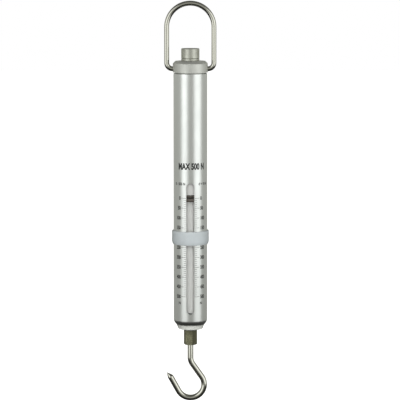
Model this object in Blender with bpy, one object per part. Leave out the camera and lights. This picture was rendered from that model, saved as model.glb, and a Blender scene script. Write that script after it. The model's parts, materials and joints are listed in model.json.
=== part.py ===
"""A tubular hanging spring scale for 500 newtons, as an assembly of its separate pieces.

The scale hangs from its bail. The origin is the inside top of the bail's arch, +Z is up,
and the reading slot faces -Y. Sizes are millimetres times MM, so every value is in metres.
"""

import math

import bmesh
import bpy
from mathutils import Matrix, Vector

MM = 0.001
GAP = 0.3 * MM  # the air left between two pieces that touch
PAST = 1.0 * MM  # how far a cutter passes the face that it opens
EASE = 0.4 * MM  # the small break on a turned edge

# Bail
BAIL_WIRE_R = 2.5 * MM
BAIL_HALF_WIDTH = 23.65 * MM  # to the wire's centreline
BAIL_FOOT_BEND_R = 6.0 * MM
BAIL_ARCH_Z = -(BAIL_HALF_WIDTH - BAIL_WIRE_R)
PIVOT_Z = -62.9 * MM
BAIL_END_X = 10.0 * MM

# Casing tube
TUBE_R = 17.0 * MM
BORE_R = 15.0 * MM
TUBE_TOP_Z = -67.4 * MM
TUBE_STRAIGHT_Z = -317.4 * MM
TUBE_END_Z = -321.6 * MM
TUBE_MOUTH_R = 12.9 * MM
TUBE_LIP = 1.6 * MM  # how thick the drawn-in mouth stays
TUBE_DRAW = (  # the drawn-in corner, as steps inwards and down from its start
    (0.0 * MM, -0.6 * MM),
    (0.35 * MM, 0.6 * MM),
    (1.05 * MM, 2.0 * MM),
    (2.25 * MM, 3.9 * MM),
    (2.65 * MM, 4.2 * MM),
)
SLOT_WIDTH = 8.0 * MM
SLOT_TOP_Z = -176.7 * MM
SLOT_END_Z = -309.8 * MM

# Top cap
CAP_R = 17.5 * MM
CAP_TOP_Z = -55.0 * MM
CAP_CHAMFER = 2.5 * MM
CAP_FOOT_Z = -66.5 * MM
SPIGOT_R = 14.6 * MM
SPIGOT_END_Z = -79.0 * MM
SET_SCREW_Z = -74.0 * MM
SET_SCREW_R = 1.5 * MM
SET_SCREW_INNER = 10.5 * MM  # where the screw's point stops in the spigot
SPIGOT_CHAMFER = 0.6 * MM

# Tare knob and spindle
KNOB_R = 9.15 * MM
KNOB_TOP_Z = -42.4 * MM
WASHER_TOP_Z = -52.85 * MM
KNOB_EDGE_R = 1.0 * MM
KNOB_FOOT_EASE = 0.25 * MM
KNOB_SCREW_Z = -48.0 * MM
SCREW_SUNK = 0.5 * MM  # how far the two set screws lie below the surface
SPINDLE_R = 4.0 * MM
SPINDLE_BORE_R = 4.3 * MM
SPINDLE_TOP_Z = -44.8 * MM
SPINDLE_END_Z = -112.0 * MM
THRUST_WASHER = 0.7 * MM
THRUST_WASHER_R = 5.5 * MM
CIRCLIP = 0.8 * MM
CIRCLIP_R = 5.3 * MM
CIRCLIP_ARC = math.radians(320.0)
CIRCLIP_PLAY = 0.1 * MM
CIRCLIP_GROOVE_R = 3.1 * MM
GUIDE_PIN_R = 1.3 * MM
GUIDE_PIN_Y = 7.2 * MM
GUIDE_PIN_IN_CAP = 5.2 * MM
GUIDE_PIN_IN_PLUG = 12.0 * MM

# Main spring and its plugs
SPRING_WIRE_R = 1.7 * MM
SPRING_MEAN_R = 12.1 * MM
SPRING_TOP_Z = -89.2 * MM
SPRING_END_Z = -172.9 * MM
SPRING_TURNS = 21.5
PLUG_CORE_R = 9.3 * MM
UPPER_PLUG_TOP_Z = -83.0 * MM
UPPER_PLUG_FLANGE = 4.0 * MM
UPPER_PLUG_R = 13.5 * MM
UPPER_PLUG_END_Z = -104.0 * MM
LOWER_PLUG_TOP_Z = -158.0 * MM
LOWER_PLUG_COLLAR_Z = -175.3 * MM
LOWER_PLUG_R = 12.5 * MM

# Pointer and pull rod
POINTER_R = 14.6 * MM
POINTER_TOP_Z = -189.5 * MM
POINTER_END_Z = -195.7 * MM
ZERO_Z = -191.7 * MM
INDEX_GROOVE = 1.3 * MM
INDEX_GROOVE_R = 12.6 * MM
INDEX_RING = 0.9 * MM
INDEX_RING_R = 14.7 * MM
ROD_R = 6.0 * MM
ROD_NECK_R = 4.0 * MM
ROD_NECK_TOP_Z = -170.0 * MM
CROSS_PIN_Z = -181.8 * MM
CROSS_PIN_R = 1.5 * MM

# Bottom bush and end stop
BUSH_BORE_R = 6.3 * MM
BUSH_SPIGOT_R = 12.5 * MM
BUSH_TOP_Z = -313.5 * MM
BUSH_SHOULDER_Z = -322.2 * MM
BUSH_SHOULDER_R = 14.25 * MM
BUSH_END_Z = -327.9 * MM
BUSH_END_R = 7.4 * MM
BUFFER_TOP_Z = -310.3 * MM
BUFFER_R = 12.0 * MM
BUFFER_EASE = 0.5 * MM
BUFFER_PLAY = 0.4 * MM
BUSH_NOSE = (  # the rounded nose, as radius and height over the end
    (8.7 * MM, 0.6 * MM),
    (11.7 * MM, 1.5 * MM),
    (12.7 * MM, 2.3 * MM),
    (12.9 * MM, 2.9 * MM),
)

# Hexagonal coupling
HEX_FLATS = 12.0 * MM
HEX_TURN = math.radians(-13.2)
HEX_TOP_Z = -328.2 * MM
HEX_END_Z = -343.2 * MM
HEX_CHAMFER = 0.9 * MM
STUD_R = 4.0 * MM
STUD_END_Z = -334.3 * MM
CAVITY_TOP_Z = -334.6 * MM
CAVITY_END_Z = -340.2 * MM
CAVITY_R = 4.9 * MM

# Hook
HOOK_WIRE_R = 3.0 * MM
HOOK_TOP_Z = -335.2 * MM
HOOK_NECK_BEND_R = 12.0 * MM
HOOK_LEAN = math.radians(35.0)
HOOK_BOWL_R = 13.9 * MM
HOOK_BOWL_X = 0.0 * MM
HOOK_BOWL_Z = -384.75 * MM
HOOK_TIP_LEAN = math.radians(29.0)
HOOK_TIP_RUN = 22.5 * MM
HOOK_POINT = 6.0 * MM  # length of the ground point
HOOK_POINT_SIDE = 1.3 * MM  # how far the grinding leaves the tip off the wire's middle
HOOK_POINT_BLUNT = 0.09  # the tip's share of the wire's thickness
HOOK_POINT_BODY = 1.25  # over 1, the point's sides are a little full
HOOK_WASHER = 0.7 * MM
HOOK_NUT_R = 4.5 * MM
HOOK_NUT_OVER = 0.1 * MM  # how far the nut stands over the shank's end

# Drag ring
RING_R = 18.65 * MM
RING_BORE_R = 17.3 * MM
RING_TOP_Z = -225.8 * MM
RING_END_Z = -239.5 * MM
RING_TAPER = 0.9 * MM
RING_TAPER_HEIGHT = 2.4 * MM
PUSHER_HEIGHT = 6.0 * MM
PUSHER_WIDTH = 6.6 * MM
PUSHER_INNER_R = 15.3 * MM
PUSHER_CORNER = 0.8 * MM

SMALL_ROUND = 24  # facets round a small turned piece
ROUND = 32  # facets round an ordinary one
WIDE_ROUND = 48  # facets round the casing and what runs in it

# Base colour, metallic and roughness of each finish
FINISHES = {
    "polished_wire": ((0.62, 0.61, 0.57), 1.0, 0.12),
    "satin_aluminium": ((0.78, 0.79, 0.78), 1.0, 0.38),
    "turned_aluminium": ((0.70, 0.71, 0.69), 1.0, 0.32),
    "steel": ((0.56, 0.57, 0.58), 1.0, 0.30),
    "spring_steel": ((0.42, 0.42, 0.43), 1.0, 0.32),
    "bronzed_steel": ((0.24, 0.23, 0.18), 1.0, 0.42),
    "light_plastic": ((0.60, 0.62, 0.64), 0.0, 0.48),
    "white_plastic": ((0.83, 0.83, 0.80), 0.0, 0.42),
    "dark_plastic": ((0.045, 0.038, 0.032), 0.0, 0.45),
    "black_rubber": ((0.018, 0.018, 0.018), 0.0, 0.70),
    "rod_aluminium": ((0.80, 0.79, 0.77), 1.0, 0.45),
    "brass": ((0.72, 0.55, 0.28), 1.0, 0.32),
}


def clear_scene():
    for thing in list(bpy.data.objects):
        bpy.data.objects.remove(thing, do_unlink=True)


def finish(thing, name):
    """Gives a piece its own material."""
    colour, metallic, roughness = FINISHES[name]
    material = bpy.data.materials.new(f"{thing.name}_{name}")
    material.use_nodes = True
    shader = material.node_tree.nodes["Principled BSDF"]
    shader.inputs["Base Color"].default_value = (*colour, 1.0)
    shader.inputs["Metallic"].default_value = metallic
    shader.inputs["Roughness"].default_value = roughness
    thing.data.materials.append(material)


def place(thing, parent, at=(0.0, 0.0, 0.0)):
    """Puts a piece under a joint's empty without moving it from where it was modelled."""
    thing.location = Vector(at)
    if parent is not None:
        thing.parent = parent
        thing.location = Vector(at) - parent.matrix_world.translation


def joint_empty(name, at, parent=None):
    """An empty on a joint's axis, which carries the pieces that move with it."""
    empty = bpy.data.objects.new(name, None)
    empty.empty_display_size = 10.0 * MM
    bpy.context.collection.objects.link(empty)
    place(empty, parent, at)
    bpy.context.view_layer.update()
    return empty


def mesh_object(name, bm):
    """Turns a finished bmesh into an object with smooth round faces and sharp corners."""
    bmesh.ops.remove_doubles(bm, verts=bm.verts, dist=1e-7)
    bmesh.ops.recalc_face_normals(bm, faces=bm.faces)
    mesh = bpy.data.meshes.new(name)
    bm.to_mesh(mesh)
    bm.free()
    mesh.shade_smooth()
    mesh.set_sharp_from_angle(angle=math.radians(30.0))
    thing = bpy.data.objects.new(name, mesh)
    bpy.context.collection.objects.link(thing)
    return thing


def turned(name, profile, facets=ROUND, arc=math.tau):
    """A turned piece about Z. profile is an outline of (radius, z) points: a closed one, or one
    that starts and ends on the axis."""
    bm = bmesh.new()
    corners = [bm.verts.new((radius, 0.0, z)) for radius, z in profile]
    section = [bm.edges.new(pair) for pair in zip(corners, corners[1:])]
    if profile[0][0] > 0.0:
        section.append(bm.edges.new((corners[-1], corners[0])))
    whole = arc == math.tau
    if not whole:
        section.append(bm.faces.new(corners))
    bmesh.ops.spin(
        bm, geom=corners + section, cent=(0.0, 0.0, 0.0), axis=(0.0, 0.0, 1.0),
        angle=arc, steps=facets, use_merge=whole,
    )
    return mesh_object(name, bm)


def ring_profile(inner, outer, top, bottom, ease=0.0):
    """The outline of a plain ring, with its outer corners eased if asked."""
    if not ease:
        return [(inner, top), (inner, bottom), (outer, bottom), (outer, top)]
    return [
        (inner, top),
        (inner, bottom),
        (outer - ease, bottom),
        (outer, bottom + ease),
        (outer, top - ease),
        (outer - ease, top),
    ]


def shaft_profile(steps, top):
    """The outline of a stepped solid shaft: steps is a list of (radius, z at its lower end)."""
    points = [(0.0, top)]
    z = top
    for radius, lower in steps:
        points += [(radius, z), (radius, lower)]
        z = lower
    points.append((0.0, z))
    return points


def quarter(centre, radius, start, end, steps):
    """Points on an arc in the (radius, z) plane, from one angle to another in degrees."""
    return [
        (
            centre[0] + radius * math.cos(math.radians(start + (end - start) * i / steps)),
            centre[1] + radius * math.sin(math.radians(start + (end - start) * i / steps)),
        )
        for i in range(steps + 1)
    ]


def pin_mesh(name, radius, length, facets=16):
    """A plain pin about Z, centred on the origin, with its mesh turned by the caller."""
    bm = bmesh.new()
    bmesh.ops.create_cone(
        bm, cap_ends=True, cap_tris=False, segments=facets,
        radius1=radius, radius2=radius, depth=length,
    )
    return mesh_object(name, bm)


def cross_pin(name, radius, start, end, facets=16):
    """A plain pin between two points, its turn kept in the mesh."""
    start, end = Vector(start), Vector(end)
    pin = pin_mesh(name, radius, (end - start).length, facets)
    turn = (end - start).to_track_quat("Z", "Y").to_matrix().to_4x4()
    pin.data.transform(Matrix.Translation((start + end) / 2) @ turn)
    return pin


def cut(thing, cutter, operation="DIFFERENCE"):
    """Cuts a piece with a hidden cutter, or keeps what both share."""
    cutter.hide_render = True
    cutter.display_type = "WIRE"
    change = thing.modifiers.new(cutter.name, "BOOLEAN")
    change.operation = operation
    change.object = cutter
    change.solver = "EXACT"


def arc_points(centre, radius, start, end, step):
    """Points in the XZ plane on an arc, about one for every step degrees."""
    count = max(2, math.ceil(abs(end - start) / step))
    return [
        Vector((
            centre[0] + radius * math.cos(math.radians(start + (end - start) * i / count)),
            0.0,
            centre[1] + radius * math.sin(math.radians(start + (end - start) * i / count)),
        ))
        for i in range(count + 1)
    ]


def wire(name, points, radius, thickness=None, bevel_resolution=4):
    """A round wire through the points. thickness gives each point's share of the radius."""
    curve = bpy.data.curves.new(name, "CURVE")
    curve.dimensions = "3D"
    curve.resolution_u = 1
    curve.render_resolution_u = 0
    curve.bevel_depth = radius
    curve.bevel_resolution = bevel_resolution
    curve.use_fill_caps = True
    curve.twist_mode = "MINIMUM"
    spline = curve.splines.new("POLY")
    spline.points.add(len(points) - 1)
    for index, (target, point) in enumerate(zip(spline.points, points)):
        target.co = (*point, 1.0)
        target.radius = thickness[index] if thickness else 1.0
    spline.use_smooth = True
    thing = bpy.data.objects.new(name, curve)
    bpy.context.collection.objects.link(thing)
    return thing


# Bail

def make_bail():
    """One bent wire: two legs, a half-round arch, and feet that turn in to the cap."""
    foot_x = BAIL_HALF_WIDTH - BAIL_FOOT_BEND_R
    foot_z = PIVOT_Z + BAIL_FOOT_BEND_R
    right = [Vector((BAIL_END_X, 0.0, PIVOT_Z))]
    right += arc_points((foot_x, foot_z), BAIL_FOOT_BEND_R, -90.0, 0.0, 15.0)
    arch = arc_points((0.0, BAIL_ARCH_Z), BAIL_HALF_WIDTH, 0.0, 180.0, 7.5)
    left = [Vector((-p.x, 0.0, p.z)) for p in reversed(right)]
    bail = wire("bail", right + arch + left, BAIL_WIRE_R)
    finish(bail, "polished_wire")
    return bail


# Casing

def make_tube():
    """The casing: a tube drawn in at its lower end, with a round-ended slot in front."""
    wall = TUBE_R - BORE_R
    outer = [(TUBE_R - EASE, TUBE_TOP_Z), (TUBE_R, TUBE_TOP_Z - EASE)]
    outer += [(TUBE_R - inwards, TUBE_STRAIGHT_Z - down) for inwards, down in TUBE_DRAW]
    inner = [
        (TUBE_MOUTH_R, TUBE_END_Z),
        (TUBE_MOUTH_R, TUBE_END_Z + TUBE_LIP),
        (BORE_R, TUBE_STRAIGHT_Z + wall),
        (BORE_R, TUBE_TOP_Z),
    ]
    tube = turned("tube", outer + inner, WIDE_ROUND)
    cut(tube, slot_cutter())
    cut(tube, cross_pin(
        "set_screw_hole_in_tube", SET_SCREW_R + GAP,
        (0.0, BORE_R - PAST, SET_SCREW_Z), (0.0, TUBE_R + PAST, SET_SCREW_Z),
    ))
    finish(tube, "satin_aluminium")
    return tube


def slot_cutter():
    """An upright block with half-round ends, through the front wall only."""
    half = SLOT_WIDTH / 2
    outline = [
        (x, z)
        for centre_z, start in ((SLOT_TOP_Z - half, 0.0), (SLOT_END_Z + half, 180.0))
        for x, z in quarter((0.0, centre_z), half, start, start + 180.0, 12)
    ]
    bm = bmesh.new()
    front = bm.faces.new([bm.verts.new((x, -TUBE_R - PAST, z)) for x, z in outline])
    swept = bmesh.ops.extrude_face_region(bm, geom=[front])
    moved = [v for v in swept["geom"] if isinstance(v, bmesh.types.BMVert)]
    bmesh.ops.translate(bm, verts=moved, vec=(0.0, TUBE_R, 0.0))
    return mesh_object("slot_cutter", bm)


def make_cap():
    """The cap: chamfered head, spigot for the tube, holes for the bail and the spindle."""
    profile = [
        (CAP_R - CAP_CHAMFER, CAP_TOP_Z),
        (CAP_R - EASE, CAP_TOP_Z - CAP_CHAMFER + EASE),
        (CAP_R, CAP_TOP_Z - CAP_CHAMFER - EASE / 2),
        (CAP_R, CAP_FOOT_Z + EASE),
        (CAP_R - EASE, CAP_FOOT_Z),
        (SPIGOT_R, CAP_FOOT_Z),
        (SPIGOT_R, SPIGOT_END_Z + SPIGOT_CHAMFER),
        (SPIGOT_R - SPIGOT_CHAMFER, SPIGOT_END_Z),
        (SPINDLE_BORE_R, SPIGOT_END_Z),
        (SPINDLE_BORE_R, CAP_TOP_Z),
    ]
    cap = turned("top_cap", profile, WIDE_ROUND)
    for side, word in ((1.0, "right"), (-1.0, "left")):
        cut(cap, cross_pin(
            f"bail_hole_{word}", BAIL_WIRE_R + GAP,
            (side * (BAIL_END_X - GAP), 0.0, PIVOT_Z), (side * (CAP_R + PAST), 0.0, PIVOT_Z),
            24,
        ))
    cut(cap, cross_pin(
        "guide_pin_hole_in_cap", GUIDE_PIN_R + GAP,
        (0.0, GUIDE_PIN_Y, SPIGOT_END_Z - PAST),
        (0.0, GUIDE_PIN_Y, SPIGOT_END_Z + GUIDE_PIN_IN_CAP + GAP),
    ))
    cut(cap, cross_pin(
        "set_screw_hole_in_cap", SET_SCREW_R + GAP,
        (0.0, SET_SCREW_INNER - GAP, SET_SCREW_Z), (0.0, SPIGOT_R + PAST, SET_SCREW_Z),
    ))
    finish(cap, "turned_aluminium")
    return cap


def make_cap_set_screw():
    screw = cross_pin(
        "cap_set_screw", SET_SCREW_R,
        (0.0, SET_SCREW_INNER, SET_SCREW_Z), (0.0, TUBE_R - SCREW_SUNK, SET_SCREW_Z),
    )
    finish(screw, "steel")
    return screw


def make_friction_washer():
    profile = ring_profile(SPINDLE_BORE_R, KNOB_R, WASHER_TOP_Z, CAP_TOP_Z + GAP, KNOB_FOOT_EASE)
    washer = turned("tare_friction_washer", profile)
    finish(washer, "turned_aluminium")
    return washer


def make_guide_pin():
    pin = cross_pin(
        "tare_guide_pin", GUIDE_PIN_R,
        (0.0, GUIDE_PIN_Y, SPIGOT_END_Z + GUIDE_PIN_IN_CAP),
        (0.0, GUIDE_PIN_Y, UPPER_PLUG_TOP_Z - GUIDE_PIN_IN_PLUG),
    )
    finish(pin, "steel")
    return pin


def make_bush():
    """The pale nose that guides the rod, with a spigot up into the tube's mouth."""
    profile = [
        (BUSH_BORE_R, BUSH_TOP_Z),
        (BUSH_BORE_R, BUSH_END_Z),
        (BUSH_END_R, BUSH_END_Z),
        *((radius, BUSH_END_Z + over) for radius, over in BUSH_NOSE),
        (BUSH_SHOULDER_R, BUSH_SHOULDER_Z),
        (BUSH_SPIGOT_R, BUSH_SHOULDER_Z),
        (BUSH_SPIGOT_R, BUSH_TOP_Z),
    ]
    bush = turned("bottom_bush", profile, WIDE_ROUND)
    finish(bush, "white_plastic")
    return bush


def make_buffer():
    profile = ring_profile(
        BUSH_BORE_R + BUFFER_PLAY, BUFFER_R, BUFFER_TOP_Z, BUSH_TOP_Z + GAP, BUFFER_EASE,
    )
    buffer = turned("buffer_ring", profile)
    finish(buffer, "black_rubber")
    return buffer


# Tare knob and spindle

def make_knob():
    """The knob: a turned button with a rounded top edge and a blind bore for the spindle."""
    foot = WASHER_TOP_Z + GAP
    edge = (KNOB_R - KNOB_EDGE_R, KNOB_TOP_Z - KNOB_EDGE_R)
    profile = [(0.0, KNOB_TOP_Z)]
    profile += quarter(edge, KNOB_EDGE_R, 90.0, 0.0, 4)
    profile += [
        (KNOB_R, foot + KNOB_FOOT_EASE),
        (KNOB_R - KNOB_FOOT_EASE, foot),
        (SPINDLE_BORE_R, foot),
        (SPINDLE_BORE_R, SPINDLE_TOP_Z + GAP),
        (0.0, SPINDLE_TOP_Z + GAP),
    ]
    knob = turned("tare_knob", profile)
    cut(knob, cross_pin(
        "grub_screw_hole", SET_SCREW_R + GAP,
        (0.0, SPINDLE_R, KNOB_SCREW_Z), (0.0, KNOB_R + PAST, KNOB_SCREW_Z),
    ))
    finish(knob, "turned_aluminium")
    return knob


def make_knob_screw():
    screw = cross_pin(
        "knob_grub_screw", SET_SCREW_R,
        (0.0, SPINDLE_R + GAP, KNOB_SCREW_Z), (0.0, KNOB_R - SCREW_SUNK, KNOB_SCREW_Z),
    )
    finish(screw, "steel")
    return screw


def make_spindle():
    groove_top = SPIGOT_END_Z - 2 * GAP - THRUST_WASHER + CIRCLIP_PLAY
    groove_end = groove_top - CIRCLIP - 2 * GAP
    profile = shaft_profile(
        [(SPINDLE_R, groove_top), (CIRCLIP_GROOVE_R, groove_end), (SPINDLE_R, SPINDLE_END_Z)],
        SPINDLE_TOP_Z,
    )
    spindle = turned("tare_spindle", profile, SMALL_ROUND)
    finish(spindle, "brass")
    return spindle


def make_thrust_washer():
    top = SPIGOT_END_Z - GAP
    washer = turned(
        "spindle_thrust_washer",
        ring_profile(SPINDLE_BORE_R, THRUST_WASHER_R, top, top - THRUST_WASHER), SMALL_ROUND,
    )
    finish(washer, "steel")
    return washer


def make_circlip():
    """An open ring in the spindle's groove, under the thrust washer."""
    top = SPIGOT_END_Z - 2 * GAP - THRUST_WASHER - CIRCLIP_PLAY
    profile = ring_profile(CIRCLIP_GROOVE_R + GAP, CIRCLIP_R, top, top - CIRCLIP)
    clip = turned("spindle_circlip", profile, SMALL_ROUND, CIRCLIP_ARC)
    finish(clip, "spring_steel")
    return clip


# Spring and its upper plug

def make_upper_plug():
    """The nut on the spindle, with the core that the spring's top coils grip."""
    flange_end = UPPER_PLUG_TOP_Z - UPPER_PLUG_FLANGE
    profile = [
        (SPINDLE_BORE_R, UPPER_PLUG_TOP_Z),
        (SPINDLE_BORE_R, UPPER_PLUG_END_Z),
        (PLUG_CORE_R, UPPER_PLUG_END_Z),
        (PLUG_CORE_R, flange_end),
        (UPPER_PLUG_R, flange_end),
        (UPPER_PLUG_R, UPPER_PLUG_TOP_Z),
    ]
    plug = turned("spring_upper_plug", profile)
    cut(plug, cross_pin(
        "guide_pin_hole_in_plug", GUIDE_PIN_R + GAP,
        (0.0, GUIDE_PIN_Y, UPPER_PLUG_TOP_Z + PAST),
        (0.0, GUIDE_PIN_Y, UPPER_PLUG_END_Z - PAST),
    ))
    finish(plug, "steel")
    return plug


def make_spring():
    """A close-wound extension spring, one helix from plug to plug."""
    per_turn = 12  # points on each coil
    count = round(SPRING_TURNS * per_turn)
    points = [
        Vector((
            SPRING_MEAN_R * math.cos(math.tau * i / per_turn),
            SPRING_MEAN_R * math.sin(math.tau * i / per_turn),
            SPRING_TOP_Z + (SPRING_END_Z - SPRING_TOP_Z) * i / count,
        ))
        for i in range(count + 1)
    ]
    spring = wire("main_spring", points, SPRING_WIRE_R, bevel_resolution=1)
    finish(spring, "spring_steel")
    return spring


# What the load pulls down

def make_lower_plug():
    """The plug in the spring's lower coils, whose collar carries the pointer."""
    foot = POINTER_TOP_Z + GAP
    profile = [
        (0.0, LOWER_PLUG_TOP_Z),
        (PLUG_CORE_R, LOWER_PLUG_TOP_Z),
        (PLUG_CORE_R, LOWER_PLUG_COLLAR_Z),
        (LOWER_PLUG_R - EASE, LOWER_PLUG_COLLAR_Z),
        (LOWER_PLUG_R, LOWER_PLUG_COLLAR_Z - EASE),
        (LOWER_PLUG_R, foot),
        (ROD_NECK_R + GAP, foot),
        (ROD_NECK_R + GAP, ROD_NECK_TOP_Z + GAP),
        (0.0, ROD_NECK_TOP_Z + GAP),
    ]
    plug = turned("spring_lower_plug", profile)
    reach = LOWER_PLUG_R + PAST
    cut(plug, cross_pin(
        "cross_hole_in_plug", CROSS_PIN_R + GAP, (-reach, 0.0, CROSS_PIN_Z), (reach, 0.0, CROSS_PIN_Z),
    ))
    finish(plug, "rod_aluminium")
    return plug


def make_pointer():
    """The dark piston that slides in the bore, with a groove round it for the index ring."""
    profile = [
        (ROD_NECK_R + GAP, POINTER_TOP_Z),
        (ROD_NECK_R + GAP, POINTER_END_Z),
        (POINTER_R - EASE, POINTER_END_Z),
        (POINTER_R, POINTER_END_Z + EASE),
        (POINTER_R, ZERO_Z - INDEX_GROOVE / 2),
        (INDEX_GROOVE_R, ZERO_Z - INDEX_GROOVE / 2),
        (INDEX_GROOVE_R, ZERO_Z + INDEX_GROOVE / 2),
        (POINTER_R, ZERO_Z + INDEX_GROOVE / 2),
        (POINTER_R, POINTER_TOP_Z - EASE),
        (POINTER_R - EASE, POINTER_TOP_Z),
    ]
    pointer = turned("pointer_piston", profile, WIDE_ROUND)
    finish(pointer, "dark_plastic")
    return pointer


def make_index_ring():
    half = INDEX_RING / 2
    profile = ring_profile(INDEX_GROOVE_R + GAP, INDEX_RING_R, ZERO_Z + half, ZERO_Z - half)
    ring = turned("index_ring", profile, WIDE_ROUND)
    finish(ring, "black_rubber")
    return ring


def make_rod():
    """The pull rod: a neck up through pointer and plug, and a stud into the coupling."""
    shoulder = POINTER_END_Z - GAP
    profile = shaft_profile(
        [(ROD_NECK_R, shoulder), (ROD_R, HEX_TOP_Z + GAP), (STUD_R, STUD_END_Z)], ROD_NECK_TOP_Z,
    )
    rod = turned("pull_rod", profile)
    reach = ROD_R + PAST
    cut(rod, cross_pin(
        "cross_hole_in_rod", CROSS_PIN_R + GAP, (-reach, 0.0, CROSS_PIN_Z), (reach, 0.0, CROSS_PIN_Z),
    ))
    finish(rod, "rod_aluminium")
    return rod


def make_cross_pin():
    reach = LOWER_PLUG_R - EASE
    pin = cross_pin("rod_cross_pin", CROSS_PIN_R, (-reach, 0.0, CROSS_PIN_Z), (reach, 0.0, CROSS_PIN_Z))
    finish(pin, "steel")
    return pin


def make_coupling():
    """The hexagon: chamfered at both ends, bored for the rod's stud and the hook's head."""
    corner_r = HEX_FLATS / 2 / math.cos(math.pi / 6)
    hexagon = cross_pin("hex_coupling", corner_r, (0.0, 0.0, HEX_END_Z), (0.0, 0.0, HEX_TOP_Z), 6)
    first_corner = math.atan2(hexagon.data.vertices[0].co.y, hexagon.data.vertices[0].co.x)
    hexagon.data.transform(Matrix.Rotation(HEX_TURN - first_corner, 4, "Z"))
    slope = HEX_CHAMFER / math.tan(math.radians(60.0))
    outside = corner_r + GAP
    drop = slope * (HEX_CHAMFER + GAP) / HEX_CHAMFER
    cut(hexagon, turned("coupling_chamfer", [
        (0.0, HEX_TOP_Z + GAP),
        (corner_r - HEX_CHAMFER, HEX_TOP_Z + GAP),
        (corner_r - HEX_CHAMFER, HEX_TOP_Z),
        (outside, HEX_TOP_Z - drop),
        (outside, HEX_END_Z + drop),
        (corner_r - HEX_CHAMFER, HEX_END_Z),
        (corner_r - HEX_CHAMFER, HEX_END_Z - GAP),
        (0.0, HEX_END_Z - GAP),
    ], ROUND), "INTERSECT")
    cut(hexagon, turned("coupling_bore", shaft_profile(
        [
            (STUD_R + GAP, CAVITY_TOP_Z),
            (CAVITY_R, CAVITY_END_Z),
            (HOOK_WIRE_R + GAP, HEX_END_Z - PAST),
        ],
        HEX_TOP_Z + PAST,
    ), SMALL_ROUND))
    finish(hexagon, "bronzed_steel")
    return hexagon


# Hook

def make_hook():
    """One wire: shank, neck bend, a straight lean to the bowl, the bowl, and a ground point."""
    lean, tip_lean = math.degrees(HOOK_LEAN), math.degrees(HOOK_TIP_LEAN)
    bowl = (HOOK_BOWL_X, HOOK_BOWL_Z)
    bowl_points = arc_points(bowl, HOOK_BOWL_R, lean, tip_lean - 180.0, 9.0)
    tangent = bowl_points[0]
    neck_x = HOOK_NECK_BEND_R * (1.0 - math.cos(HOOK_LEAN))
    neck_z = tangent.z + (tangent.x - neck_x) / math.tan(HOOK_LEAN)
    bend = (HOOK_NECK_BEND_R, neck_z + HOOK_NECK_BEND_R * math.sin(HOOK_LEAN))
    neck_points = arc_points(bend, HOOK_NECK_BEND_R, 180.0, 180.0 + lean, 7.0)
    out = Vector((-math.sin(HOOK_TIP_LEAN), 0.0, math.cos(HOOK_TIP_LEAN)))
    outer_side = Vector((-math.cos(HOOK_TIP_LEAN), 0.0, -math.sin(HOOK_TIP_LEAN)))
    point_starts = bowl_points[-1] + out * (HOOK_TIP_RUN - HOOK_POINT)
    shares = [0.0, 0.25, 0.5, 0.75, 1.0]
    tip_sizes = [max(HOOK_POINT_BLUNT, 1.0 - share**HOOK_POINT_BODY) for share in shares]
    tip_points = [
        point_starts + out * HOOK_POINT * share + outer_side * HOOK_POINT_SIDE * (1.0 - size)
        for share, size in zip(shares, tip_sizes)
    ]
    points = [Vector((0.0, 0.0, HOOK_TOP_Z))] + neck_points + bowl_points + tip_points
    sizes = [1.0] * (len(points) - len(tip_points)) + tip_sizes
    hook = wire("hook", points, HOOK_WIRE_R, sizes)
    finish(hook, "polished_wire")
    return hook


def make_swivel_nut():
    top, foot = HOOK_TOP_Z + HOOK_NUT_OVER, CAVITY_END_Z + HOOK_WASHER + 2 * GAP
    nut = turned(
        "hook_swivel_nut", ring_profile(HOOK_WIRE_R + GAP, HOOK_NUT_R, top, foot), SMALL_ROUND,
    )
    finish(nut, "steel")
    return nut


def make_hook_washer():
    foot = CAVITY_END_Z + GAP
    profile = ring_profile(HOOK_WIRE_R + GAP, HOOK_NUT_R, foot + HOOK_WASHER, foot)
    washer = turned("hook_thrust_washer", profile, SMALL_ROUND)
    finish(washer, "brass")
    return washer


# Drag ring

def make_drag_ring():
    """The sliding maximum marker: a thin ring, tapered at its lower edge."""
    profile = [
        (RING_BORE_R, RING_TOP_Z),
        (RING_BORE_R, RING_END_Z),
        (RING_R - RING_TAPER, RING_END_Z),
        (RING_R, RING_END_Z + RING_TAPER_HEIGHT),
        (RING_R, RING_TOP_Z - EASE),
        (RING_R - EASE, RING_TOP_Z),
    ]
    ring = turned("drag_ring", profile, WIDE_ROUND)
    finish(ring, "light_plastic")
    return ring


def make_pusher():
    """The ring's key, which runs in the slot and keeps the ring from turning."""
    middle = (RING_TOP_Z + RING_END_Z) / 2
    outer = math.sqrt(RING_BORE_R**2 - (PUSHER_WIDTH / 2) ** 2) - GAP
    bm = bmesh.new()
    bmesh.ops.create_cube(bm, size=1.0)
    bmesh.ops.scale(bm, verts=bm.verts, vec=(PUSHER_WIDTH, outer - PUSHER_INNER_R, PUSHER_HEIGHT))
    bmesh.ops.bevel(
        bm, geom=[e for e in bm.edges if abs(e.verts[0].co.y - e.verts[1].co.y) > GAP],
        offset=PUSHER_CORNER, segments=2, affect="EDGES",
    )
    bmesh.ops.translate(bm, verts=bm.verts, vec=(0.0, -(outer + PUSHER_INNER_R) / 2, middle))
    pusher = mesh_object("drag_ring_pusher", bm)
    finish(pusher, "light_plastic")
    return pusher


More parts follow.
